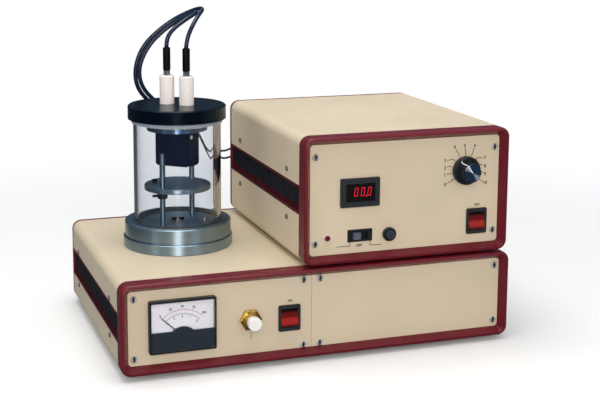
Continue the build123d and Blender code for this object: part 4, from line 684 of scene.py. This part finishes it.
# Leads: each route's points in millimetres, at most 8 mm from those in part.py
HEAD_LEAD_WIDTH = 0.0054
SUPPLY_LEAD_WIDTH = 0.0028
HEAD_ROUTES = (
    (
        (-147.6, 7.0, 365.0), (-147.6, 7.0, 376.0), (-138.0, 9.5, 388.0), (-119.5, 16.0, 399.0),
        (-101.5, 29.0, 406.5), (-101.0, 46.0, 405.5), (-118.0, 58.0, 395.0), (-139.5, 63.0, 380.0),
        (-159.0, 65.0, 360.0), (-170.5, 66.0, 334.5), (-168.5, 67.5, 311.5), (-155.0, 70.0, 293.0),
        (-134.0, 72.5, 277.0), (-109.5, 74.5, 263.0),
    ),
    (
        (-127.0, -11.0, 365.0), (-126.0, -11.0, 376.5), (-117.5, -7.0, 393.0), (-107.0, 3.0, 405.0),
        (-96.5, 21.0, 410.4), (-94.5, 42.0, 410.4), (-102.5, 59.0, 405.5), (-120.5, 68.5, 396.0),
        (-143.5, 71.0, 380.0), (-164.0, 71.5, 360.0), (-174.5, 71.5, 334.0), (-173.0, 73.0, 308.5),
        (-158.5, 76.0, 288.5), (-136.0, 78.5, 271.5), (-112.0, 80.5, 258.0),
    ),
)
SUPPLY_ROUTES = (
    (
        (-109.5, 74.5, 263.0), (-96.6, 75.7, 254.3), (-81.5, 83.0, 237.0), (-68.0, 95.0, 218.0),
        (-50.0, 115.5, 206.5), (-37.0, 139.0, 202.5), (-27.0, 163.0, 197.5), (-11.0, 176.5, 199.0),
        (4.0, 173.5, 203.0), (8.0, 160.0, 204.0), (8.0, 152.0, 204.0),
    ),
    (
        (-112.0, 80.5, 258.0), (-96.0, 81.7, 252.5), (-80.5, 90.0, 236.0), (-66.5, 101.0, 215.5),
        (-50.0, 120.0, 199.0), (-37.5, 142.0, 191.5), (-27.0, 163.0, 186.5), (-11.0, 176.0, 187.0),
        (4.0, 173.5, 188.0), (8.0, 160.0, 188.0), (8.0, 152.0, 188.0),
    ),
)
LEAD_SIDES = 20
SPLINE_STEPS = 8


def spline_points(name, route):
    """Points along the smooth curve that has the route as its control points."""
    curve = bpy.data.curves.new(f"{name}_line", "CURVE")
    curve.dimensions = "3D"
    curve.resolution_u = SPLINE_STEPS
    spline = curve.splines.new("NURBS")
    spline.points.add(len(route) - 1)
    for point, place in zip(spline.points, route):
        point.co = (*(Vector(place) * MM), 1)
    spline.order_u = 3
    spline.use_endpoint_u = True
    line = bpy.data.objects.new(f"{name}_line", curve)
    mesh = bpy.data.meshes.new_from_object(line)
    points = [v.co.copy() for v in mesh.vertices]
    bpy.data.objects.remove(line)
    bpy.data.meshes.remove(mesh)
    return points


def tube_mesh(name, points, radius):
    """A closed round tube along points, without twist."""
    vertices, faces = [], []
    along = (points[1] - points[0]).normalized()
    side = along.orthogonal().normalized()
    for i, point in enumerate(points):
        before, after = points[max(i - 1, 0)], points[min(i + 1, len(points) - 1)]
        along = (after - before).normalized()
        side = (side - along * side.dot(along)).normalized()
        other = along.cross(side)
        for k in range(LEAD_SIDES):
            angle = 2 * math.pi * k / LEAD_SIDES
            vertices.append(point + (side * math.cos(angle) + other * math.sin(angle)) * radius)
        if i:
            first, last = (i - 1) * LEAD_SIDES, i * LEAD_SIDES
            for k in range(LEAD_SIDES):
                turn = (k + 1) % LEAD_SIDES
                faces.append((first + k, first + turn, last + turn, last + k))
    faces.append(tuple(reversed(range(LEAD_SIDES))))
    end = (len(points) - 1) * LEAD_SIDES
    faces.append(tuple(end + k for k in range(LEAD_SIDES)))
    return new_piece(name, vertices, faces, smooth=True)


def make_lead(name, node, route, width, material):
    """A lead along its route, in the place of its CAD node, and the points it follows."""
    points = spline_points(name, route)
    lead = tube_mesh(name, points, width / 2)
    lead.data.materials.append(material)
    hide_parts(node)
    return lead, points


def make_leads(material):
    """Two thick leads from the head and the thin leads that carry on to the supply."""
    for name, head_route, supply_route in zip(("first", "second"), HEAD_ROUTES, SUPPLY_ROUTES):
        label = f"head_lead_{name}"
        head, points = make_lead(label, "head_leads", head_route, HEAD_LEAD_WIDTH, material)
        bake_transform(head)
        label = f"supply_lead_{name}"
        supply, line = make_lead(label, "supply_leads", supply_route, SUPPLY_LEAD_WIDTH, material)
        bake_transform(supply)


# Boots on the studs: straight sleeves with a small round at both ends
BOOT_SLEEVE = 0.0047
BOOT_BORE = 0.0022
BOOT_ROUND = 0.0011
BOOT_DEPTH = 0.003
BOOT_SIDES = 40
ROUND_STEPS = 5


def rounded(radius, height, corner, side):
    """Points of a quarter round at a turned piece's edge, from the axis outwards or back."""
    points = []
    for i in range(ROUND_STEPS + 1):
        angle = math.pi / 2 * i / ROUND_STEPS
        points.append((
            radius - corner + corner * math.sin(angle), height - side * corner * (1 - math.cos(angle)),
        ))
    return points if side < 0 else points[::-1]


def make_boots(material):
    low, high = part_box("lead_boots")
    profile = [
        (BOOT_BORE, low.z + BOOT_DEPTH), (BOOT_BORE, low.z),
        *rounded(BOOT_SLEEVE, low.z, BOOT_ROUND, -1), *rounded(BOOT_SLEEVE, high.z, BOOT_ROUND, 1),
        (BOOT_BORE, high.z), (BOOT_BORE, high.z - BOOT_DEPTH),
    ]
    for number, route in enumerate(HEAD_ROUTES):
        boot = turned_piece(f"boot_{number}", profile, Vector(route[0]) * MM, BOOT_SIDES)
        boot.data.materials.append(material)
        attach(boot, "lid")
        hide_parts("lead_boots")


# Shield below the lid: four thin plates with rounded lower corners, and a wider metal flange
SHIELD_WIDTH = 0.047
SHIELD_DEPTH = 0.028
SHIELD_TURN = math.radians(-41)
SHIELD_SHEET = 0.0012
SHIELD_SEAM = 0.000024
SHIELD_LOWER_ROUND = 0.0048
SHIELD_ROUND_STEPS = 8
FLANGE_RADIUS = 0.038
FLANGE_DROP = 0.0036
FLANGE_BORE = 0.001
FLANGE_SIDES = 96
CAD_FLANGE_HEIGHT = 0.003
# Painted light: a pale disc where a screw on the shield's right plate shows bright
BRIGHT_SPOT_RADIUS = 0.0024
BRIGHT_SPOT_RISE = 0.0006
BRIGHT_SPOT_PLACE = (-0.0075, 0.0145)
BRIGHT_SPOT_SIDES = 24


def plate_outline(half, bottom, top):
    """A plate with its two lower corners rounded, as distance along and height."""
    left = [(-half, top)]
    for i in range(SHIELD_ROUND_STEPS + 1):
        angle = math.pi / 2 * i / SHIELD_ROUND_STEPS
        inward = SHIELD_LOWER_ROUND * (1 - math.cos(angle))
        left.append((inward - half, bottom + SHIELD_LOWER_ROUND * (1 - math.sin(angle))))
    return left + [(-along, height) for along, height in reversed(left)]


def make_shield(material, flange_material, bright_spot_material):
    low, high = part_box("head_shield")
    axis = Vector((chamber.x, chamber.y, 0))
    top = high.z - CAD_FLANGE_HEIGHT
    across = Vector((math.cos(SHIELD_TURN), math.sin(SHIELD_TURN), 0))
    inward = Vector((-across.y, across.x, 0))
    sides = (
        ("front", -inward, across, SHIELD_WIDTH, SHIELD_DEPTH),
        ("back", inward, -across, SHIELD_WIDTH, SHIELD_DEPTH),
        ("right", across, inward, SHIELD_DEPTH, SHIELD_WIDTH),
        ("left", -across, -inward, SHIELD_DEPTH, SHIELD_WIDTH),
    )
    for name, out, along, width, distance in sides:
        face = axis + out * distance / 2
        outline = plate_outline(width / 2 - SHIELD_SEAM, low.z, top)
        outer = [face + along * u + Vector((0, 0, z)) for u, z in outline]
        inner = [point - out * SHIELD_SHEET for point in outer]
        plate = solid_of(f"shield_{name}", (outer, inner))
        plate.data.materials.append(material)
        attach(plate, "lid")
        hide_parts("head_shield")
        if name == "right":
            place = face + along * BRIGHT_SPOT_PLACE[0] + Vector((0, 0, high.z - BRIGHT_SPOT_PLACE[1]))
            make_bright_spot(place, out, bright_spot_material)
    flange = turned_piece("shield_flange", [
        (FLANGE_BORE, top - FLANGE_DROP), (FLANGE_RADIUS, top - FLANGE_DROP),
        (FLANGE_RADIUS, high.z), (FLANGE_BORE, high.z),
    ], axis, FLANGE_SIDES)
    flange.data.materials.append(flange_material)
    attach(flange, "lid")
    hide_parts("head_shield")


def make_bright_spot(place, out, material):
    """A round pale disc on a shield plate: painted light where a screw there shows bright."""
    side = Vector((0, 0, 1))
    other = side.cross(out)
    angles = [2 * math.pi * k / BRIGHT_SPOT_SIDES for k in range(BRIGHT_SPOT_SIDES)]
    circle = [(side * math.sin(a) + other * math.cos(a)) * BRIGHT_SPOT_RADIUS for a in angles]
    rims = [[place + out * rise + spoke for spoke in circle] for rise in (BRIGHT_SPOT_RISE, -SHIELD_SHEET / 2)]
    spot_disc = solid_of("shield_bright_spot", rims)
    spot_disc.data.materials.append(material)
    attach(spot_disc, "lid")


# Printing on the fronts
INK_THICK = 0.00012
INK_BOLD = 0.00012
CAPITAL_SHARE = 0.7


def ribbon(name, points, width, y, material, body="root"):
    """A flat printed line through points given as X and Z, lying on a front face."""
    vertices, faces = [], []
    for (x1, z1), (x2, z2) in zip(points, points[1:]):
        along = Vector((x2 - x1, 0, z2 - z1)).normalized()
        across = Vector((-along.z, 0, along.x)) * width / 2
        along *= width / 2
        base = len(vertices)
        start, end = Vector((x1, y, z1)) - along, Vector((x2, y, z2)) + along
        corners = [start - across, end - across, end + across, start + across]
        vertices += [c - Vector((0, INK_THICK, 0)) for c in corners] + corners
        faces.append([base + k for k in range(4)])
        for k in range(4):
            turn = (k + 1) % 4
            faces.append([base + k, base + k + 4, base + turn + 4, base + turn])
    piece = new_piece(name, vertices, faces)
    piece.data.materials.append(material)
    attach(piece, body)
    return piece


def lettering(name, text, x, z, y, material, height):
    """Printed characters centred on X and Z, on a front face."""
    font = bpy.data.curves.new(name, "FONT")
    font.body = text
    font.size = height / CAPITAL_SHARE
    font.align_x = "CENTER"
    font.align_y = "CENTER"
    font.extrude = INK_THICK / 2
    font.offset = INK_BOLD
    shape = bpy.data.objects.new(name, font)
    shape.location = (x, y - INK_THICK / 2, z)
    shape.rotation_euler = (math.pi / 2, 0, 0)
    bpy.context.scene.collection.objects.link(shape)
    shape.data.materials.append(material)
    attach(shape, "root")


def arc(centre, radius, start, end, steps):
    """Points on an arc, angles in degrees clockwise from straight up."""
    angles = [math.radians(start + (end - start) * i / steps) for i in range(steps + 1)]
    return [(centre.x + radius * math.sin(a), centre.z + radius * math.cos(a)) for a in angles]


# Voltage dial: where each number stands from the knob's centre, in millimetres
DIAL_NUMBERS = {
    "0": (-26.9, -17.0), "1": (-27.6, -4.8), "2": (-27.6, 4.2), "3": (-27.7, 13.2),
    "4": (-15.1, 29.5), "5": (-1.3, 30.5), "6": (12.6, 30.0), "7": (26.7, 13.6),
    "8": (27.1, 3.2), "9": (27.4, -6.8), "10": (27.7, -17.7),
}
DIAL_START = -124.0
DIAL_STEP = 24.8
DIAL_TEXT = 0.004
DIAL_TEXT_GAP = 0.0032
DIAL_LINE = 0.00075
LEADER_START = 0.001
LEADER_KNEE = 0.0045


def knob_reach(node):
    """Radius of a turned CAD node that faces the front."""
    low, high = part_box(node)
    return (high.x - low.x) / 2


def dial_direction(value):
    """Unit vector in the front's plane from the knob's centre towards a dial value."""
    angle = math.radians(DIAL_START + DIAL_STEP * value)
    return Vector((math.sin(angle), 0, math.cos(angle)))


def make_dial(ink):
    """Numbers with a leader line from each towards the knob's skirt."""
    face = front_of["upper_panel"]
    centre = middle("voltage_knob_cap")
    hub = Vector((centre.x, 0, centre.z))
    skirt = knob_reach("voltage_knob")
    for number, (x, z) in DIAL_NUMBERS.items():
        place = hub + Vector((x, 0, z)) * MM
        lettering(f"dial_{number}", number, place.x, place.z, face, ink, DIAL_TEXT)
        outward = dial_direction(int(number))
        inner = hub + outward * (skirt + LEADER_START)
        knee = hub + outward * (skirt + LEADER_KNEE)
        outer = place + (knee - place).normalized() * DIAL_TEXT_GAP
        points = [(inner.x, inner.z), (knee.x, knee.z), (outer.x, outer.z)]
        ribbon(f"leader_{number}", points, DIAL_LINE, face, ink)


# Pointer line on the voltage knob
KNOB_BACK_GAP = 0.0006
KNOB_SKIRT_HEIGHT = 0.008
KNOB_BARREL_RADIUS = 0.0122
SKIRT_RIM = 0.0022
CAP_RIM = 0.001
POINTER_WIDTH = 0.0012
POINTER_SUNK = 0.0008
POINTER_RISE = 0.0002
POINTER_VALUE = 3.5


def make_knob_pointer(paint):
    """White line over the knob's skirt, barrel and cap, towards the rest value."""
    centre = middle("voltage_knob_cap")
    hub = Vector((centre.x, 0, centre.z))
    outward = dial_direction(POINTER_VALUE)
    cap_low, cap_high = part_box("voltage_knob_cap")
    skirt_face = front_of["upper_panel"] - KNOB_BACK_GAP - KNOB_SKIRT_HEIGHT
    stretches = (
        ("pointer_skirt", KNOB_BARREL_RADIUS, knob_reach("voltage_knob") - SKIRT_RIM, skirt_face),
        ("pointer_cap", CAP_RIM, knob_reach("voltage_knob_cap") - CAP_RIM, cap_low.y),
    )
    for name, start, end, face in stretches:
        near, far = hub + outward * start, hub + outward * end
        ribbon(name, [(near.x, near.z), (far.x, far.z)], POINTER_WIDTH, face, paint, "voltage_knob")
    across = Vector((outward.z, 0, -outward.x)) * POINTER_WIDTH / 2
    ends = []
    for y in (skirt_face, cap_high.y):
        inner = hub + outward * (KNOB_BARREL_RADIUS - POINTER_SUNK) + Vector((0, y, 0))
        outer = hub + outward * (KNOB_BARREL_RADIUS + POINTER_RISE) + Vector((0, y, 0))
        ends.append([inner - across, outer - across, outer + across, inner + across])
    bar = solid_of("pointer_barrel", ends)
    bar.data.materials.append(paint)
    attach(bar, "voltage_knob")


# Digits: each segment's ends, in half widths and quarter heights from the digit's centre
SEGMENTS = {
    "top": ((-1, 2), (1, 2)),
    "upper_left": ((-1, 0.1), (-1, 1.9)),
    "upper_right": ((1, 0.1), (1, 1.9)),
    "lower_left": ((-1, -1.9), (-1, -0.1)),
    "lower_right": ((1, -1.9), (1, -0.1)),
    "bottom": ((-1, -2), (1, -2)),
}
DIGIT_HALF_WIDTH = 0.0022
DIGIT_HALF_HEIGHT = 0.0052
SEGMENT_WIDTH = 0.00068
SEGMENT_REACH = (0.86, 0.94)
DIGIT_SLANT = 0.12
DIGIT_PITCH = 0.0085
DIGIT_PLACE = (0.0035, 0.0007)
POINT_WIDTH = 0.0011
POINT_HALF_LENGTH = 0.0003


def make_digits(glow):
    """Three zeros with a point, slanted, in glowing segments on the display's face."""
    centre = middle("display_window")
    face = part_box("display_window")[0].y
    quarter = DIGIT_HALF_HEIGHT / 2
    z = centre.z + DIGIT_PLACE[1]
    for place in range(3):
        x = centre.x + DIGIT_PLACE[0] + (place - 1) * DIGIT_PITCH
        for name, ends in SEGMENTS.items():
            points = []
            for u, v in ends:
                sideways = u * DIGIT_HALF_WIDTH * SEGMENT_REACH[0] + v * quarter * DIGIT_SLANT
                points.append((x + sideways, z + v * quarter * SEGMENT_REACH[1]))
            ribbon(f"digit_{place}_{name}", points, SEGMENT_WIDTH, face, glow)
    x = centre.x + DIGIT_PLACE[0] + DIGIT_PITCH / 2
    z -= DIGIT_HALF_HEIGHT
    ends = [(x - POINT_HALF_LENGTH, z), (x + POINT_HALF_LENGTH, z)]
    ribbon("digit_point", ends, POINT_WIDTH, face, glow)


# Meter: two scales on the dial, and the mask with its bulge over the pivot
METER_PIVOT = (-0.1736, 0.0485)
SCALE_DROP = 0.004
SCALE_HALF_ANGLE = 44
SCALE_LINE = 0.00035
SCALE_STEPS = 24
OUTER_SCALE = 0.0345
INNER_SCALE = 0.0300
TICK_START = -42
TICK_STEP = 4.2
TICK_COUNT = 21
LONG_TICK_EVERY = 5
TICK_LINE = 0.0004
LONG_TICK = 0.0022
SHORT_TICK = 0.0012
# Each row of numbers: its radius, its letters' height and what it counts between long ticks
NUMBER_ROWS = {"scale_number": (0.0388, 0.0027, 25), "inner_number": (0.0262, 0.0022, 2)}
MASK_RISE = 0.0062
MASK_PLAY = 0.0002
MASK_FRONT_GAP = 0.0003
MASK_BACK_GAP = 0.0022
BUMP_RISE = 0.0052
BUMP_RADIUS = 0.0181
BUMP_HALF_ANGLE = 44.5
BUMP_STEPS = 20


def make_meter_scales(ink, red):
    """A red and a black arc with ticks, and a row of numbers beside each."""
    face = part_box("meter_dial")[0].y
    pivot = Vector((METER_PIVOT[0], 0, METER_PIVOT[1] - SCALE_DROP))
    for name, radius, paint in (("scale_outer", OUTER_SCALE, red), ("scale_inner", INNER_SCALE, ink)):
        points = arc(pivot, radius, -SCALE_HALF_ANGLE, SCALE_HALF_ANGLE, SCALE_STEPS)
        ribbon(name, points, SCALE_LINE, face, paint)
    for i in range(TICK_COUNT):
        angle = TICK_START + TICK_STEP * i
        long = i % LONG_TICK_EVERY == 0
        reach = LONG_TICK if long else SHORT_TICK
        outer, inner = (OUTER_SCALE, OUTER_SCALE + reach), (INNER_SCALE - reach, INNER_SCALE)
        for name, radii in (("tick_outer", outer), ("tick_inner", inner)):
            points = [arc(pivot, radius, angle, angle, 1)[0] for radius in radii]
            ribbon(f"{name}_{i}", points, TICK_LINE, face, ink)
        if long:
            for name, (radius, height, step) in NUMBER_ROWS.items():
                x, z = arc(pivot, radius, angle, angle, 1)[0]
                lettering(f"{name}_{i}", str(i // LONG_TICK_EVERY * step), x, z, face, ink, height)


def make_meter_mask(dark):
    """Dark plate across the dial's lower part, with a bulge over the pivot."""
    low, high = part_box("meter_dial")
    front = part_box("meter_window")[1].y + MASK_FRONT_GAP
    back = low.y - MASK_BACK_GAP
    left, right = low.x + MASK_PLAY, high.x - MASK_PLAY
    top, bottom = METER_PIVOT[1] + MASK_RISE, low.z + MASK_PLAY
    hub = Vector((METER_PIVOT[0], 0, top + BUMP_RISE - BUMP_RADIUS))
    bulge = arc(hub, BUMP_RADIUS, -BUMP_HALF_ANGLE, BUMP_HALF_ANGLE, BUMP_STEPS)
    outline = [(left, bottom), (left, top), *bulge, (right, top), (right, bottom)]
    mask = solid_of("meter_mask", [[(x, y, z) for x, z in outline] for y in (front, back)])
    mask.data.materials.append(dark)
    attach(mask, "root")


# Generic marks beside the switches: each one's text, X, Z, panel and height
LEGENDS = {
    "on_lower": ("ON", -0.0409, 0.0761, "control_panel", 0.0026),
    "on_upper": ("ON", 0.2040, 0.1759, "upper_panel", 0.0030),
    "off_mark": ("OFF", 0.0469, 0.1366, "upper_panel", 0.0030),
}
# Short printed lines: each one's points, width and panel
LEGEND_LINES = {
    "mode_line_left": (((0.018, 0.137), (0.035, 0.1365), (0.035, 0.1415)), 0.0007, "upper_panel"),
    "mode_line_right": (((0.076, 0.1355), (0.061, 0.136), (0.061, 0.1415)), 0.0007, "upper_panel"),
    "leak_line": (((-0.0896, 0.0418), (-0.0896, 0.0337)), 0.0006, "control_panel"),
}


def make_legends(ink):
    for name, (text, x, z, panel, height) in LEGENDS.items():
        lettering(name, text, x, z, front_of[panel], ink, height)
    for name, (points, width, panel) in LEGEND_LINES.items():
        ribbon(name, points, width, front_of[panel], ink)


# Details on the CAD nodes' separate solids
# Painted shade in the front screws' cross recesses: its reach, width and turns
RECESS_REACH = 0.0017
RECESS_WIDTH = 0.0006
RECESS_FIRST_TURN = 0.4
RECESS_TURN_STEP = 0.7
CHANNEL_LIP = 0.0058
CHANNEL_LIP_REACH = 0.0022


def islands(node):
    """The box of every separate solid in a node."""
    mesh = node.data
    leader = list(range(len(mesh.vertices)))

    def find(i):
        while leader[i] != i:
            leader[i] = leader[leader[i]]
            i = leader[i]
        return i

    for edge in mesh.edges:
        leader[find(edge.vertices[0])] = find(edge.vertices[1])
    groups = {}
    for vertex in mesh.vertices:
        groups.setdefault(find(vertex.index), []).append(node.matrix_world @ vertex.co)
    boxes = []
    for points in groups.values():
        low = Vector([min(p[i] for p in points) for i in range(3)])
        high = Vector([max(p[i] for p in points) for i in range(3)])
        boxes.append((low, high))
    return boxes


def paint_screw_recess_shade(dark):
    """Flat dark crosses on the heads of the front panel screws: painted shade in their cross recesses.
    """
    for number, (low, high) in enumerate(islands(NODES["panel_screws"])):
        if high.y > 0:
            continue
        x, z = (low.x + high.x) / 2, (low.z + high.z) / 2
        turn = RECESS_FIRST_TURN + RECESS_TURN_STEP * number
        for quarter in (0, math.pi / 2):
            u, v = math.cos(turn + quarter) * RECESS_REACH, math.sin(turn + quarter) * RECESS_REACH
            ends = [(x - u, z - v), (x + u, z + v)]
            ribbon(f"recess_{number}_{round(quarter)}", ends, RECESS_WIDTH, low.y, dark)


def make_channel_lips(material):
    """A sloping lip along the lower edge of every side channel's dark strip."""
    lower_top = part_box("lower_top_cover")[1].z
    for number, (low, high) in enumerate(islands(NODES["side_strips"])):
        case = middle("upper_top_cover" if low.z > lower_top else "lower_top_cover")
        outward = 1 if low.x > case.x else -1
        face = high.x if outward > 0 else low.x
        foot = face + outward * CHANNEL_LIP_REACH
        profile = [(face, low.z), (foot, low.z), (face, low.z + CHANNEL_LIP)]
        ends = [[Vector((x, y, z)) for x, z in profile] for y in (low.y, high.y)]
        lip = solid_of(f"channel_lip_{number}", ends)
        lip.data.materials.append(material)
        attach(lip, "root")


# Small dark pieces in the chamber: a screw on the stage, and discs of painted shade for the two slots
# in its floor
AXIS_HOLE = 0.0001
STAGE_SCREW_TOP = (-0.1634, 0.0155)
STAGE_SCREW_RADIUS = 0.0032
STAGE_SCREW_RISE = 0.0034
STAGE_SCREW_BEVEL = 0.0006
STAGE_SCREW_SOCKET = (0.0012, 0.001)
STAGE_SCREW_SIDES = 24
FLOOR_SLOT_SHADES = ((-0.1407, 0.0046), (-0.1316, 0.0016))
FLOOR_SLOT_SHADE_RADIUS = 0.0035
FLOOR_SLOT_SHADE_RISE = 0.0024
FLOOR_SLOT_SHADE_SIDES = 28
CHAMBER_FLOOR = 0.144


def make_stage_screw(dark):
    """A screw with a round socket that stands on the stage."""
    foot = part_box("stage_disc")[1].z
    head = foot + STAGE_SCREW_RISE
    socket_radius, socket_depth = STAGE_SCREW_SOCKET
    screw = turned_piece("stage_screw", [
        (AXIS_HOLE, foot), (STAGE_SCREW_RADIUS, foot), (STAGE_SCREW_RADIUS, head - STAGE_SCREW_BEVEL),
        (STAGE_SCREW_RADIUS - STAGE_SCREW_BEVEL, head), (socket_radius, head),
        (socket_radius, head - socket_depth), (AXIS_HOLE, head - socket_depth),
    ], Vector((*STAGE_SCREW_TOP, 0)), STAGE_SCREW_SIDES)
    screw.data.materials.append(dark)
    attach(screw, "stage")


def make_floor_slot_shades(dark):
    """Two dark discs on the chamber's floor: painted shade for its two slots."""
    top = CHAMBER_FLOOR + FLOOR_SLOT_SHADE_RISE
    profile = [
        (AXIS_HOLE, CHAMBER_FLOOR), (FLOOR_SLOT_SHADE_RADIUS, CHAMBER_FLOOR), (FLOOR_SLOT_SHADE_RADIUS, top),
        (AXIS_HOLE, top),
    ]
    for number, place in enumerate(FLOOR_SLOT_SHADES):
        plug = turned_piece(f"floor_slot_shade_{number}", profile, Vector((*place, 0)), FLOOR_SLOT_SHADE_SIDES)
        plug.data.materials.append(dark)
        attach(plug, "root")


bpy.context.scene.view_settings.view_transform = "Standard"
make_camera()
make_world()
make_floor()
make_lamps()
looks = node_materials()
dress_nodes(looks)
dress_upper_seal()
make_leads(looks["head_leads"])
make_boots(looks["lead_boots"])
flange_metal = turned_metal("flange_metal", FLANGE_BLUE, AXIS_Z, chamber, spread=0.03)
make_shield(looks["head_shield"], flange_metal, looks["insulators"])
black_ink = printed("black_ink", INK)
make_dial(black_ink)
make_knob_pointer(printed("white_paint", POINTER_WHITE))
make_digits(red_lens("digit_glow", DIGIT_RED, 0.7))
make_meter_scales(black_ink, printed("red_ink", SCALE_RED))
make_meter_mask(smooth_moulded("meter_mask_plastic", MASK_BLUE, 0.3, 0.01, 0.4))
make_legends(black_ink)
paint_screw_recess_shade(looks["mode_switch"])
make_channel_lips(looks["side_rails"])
# One matt black: the stage screw's own colour, and painted shade for the floor's slots
screw_black_and_slot_shade = moulded("screw_black_and_slot_shade", SCREW_BLACK_AND_SLOT_SHADE, 0.7, 0.05, sheen=0.05)
make_stage_screw(screw_black_and_slot_shade)
make_floor_slot_shades(screw_black_and_slot_shade)
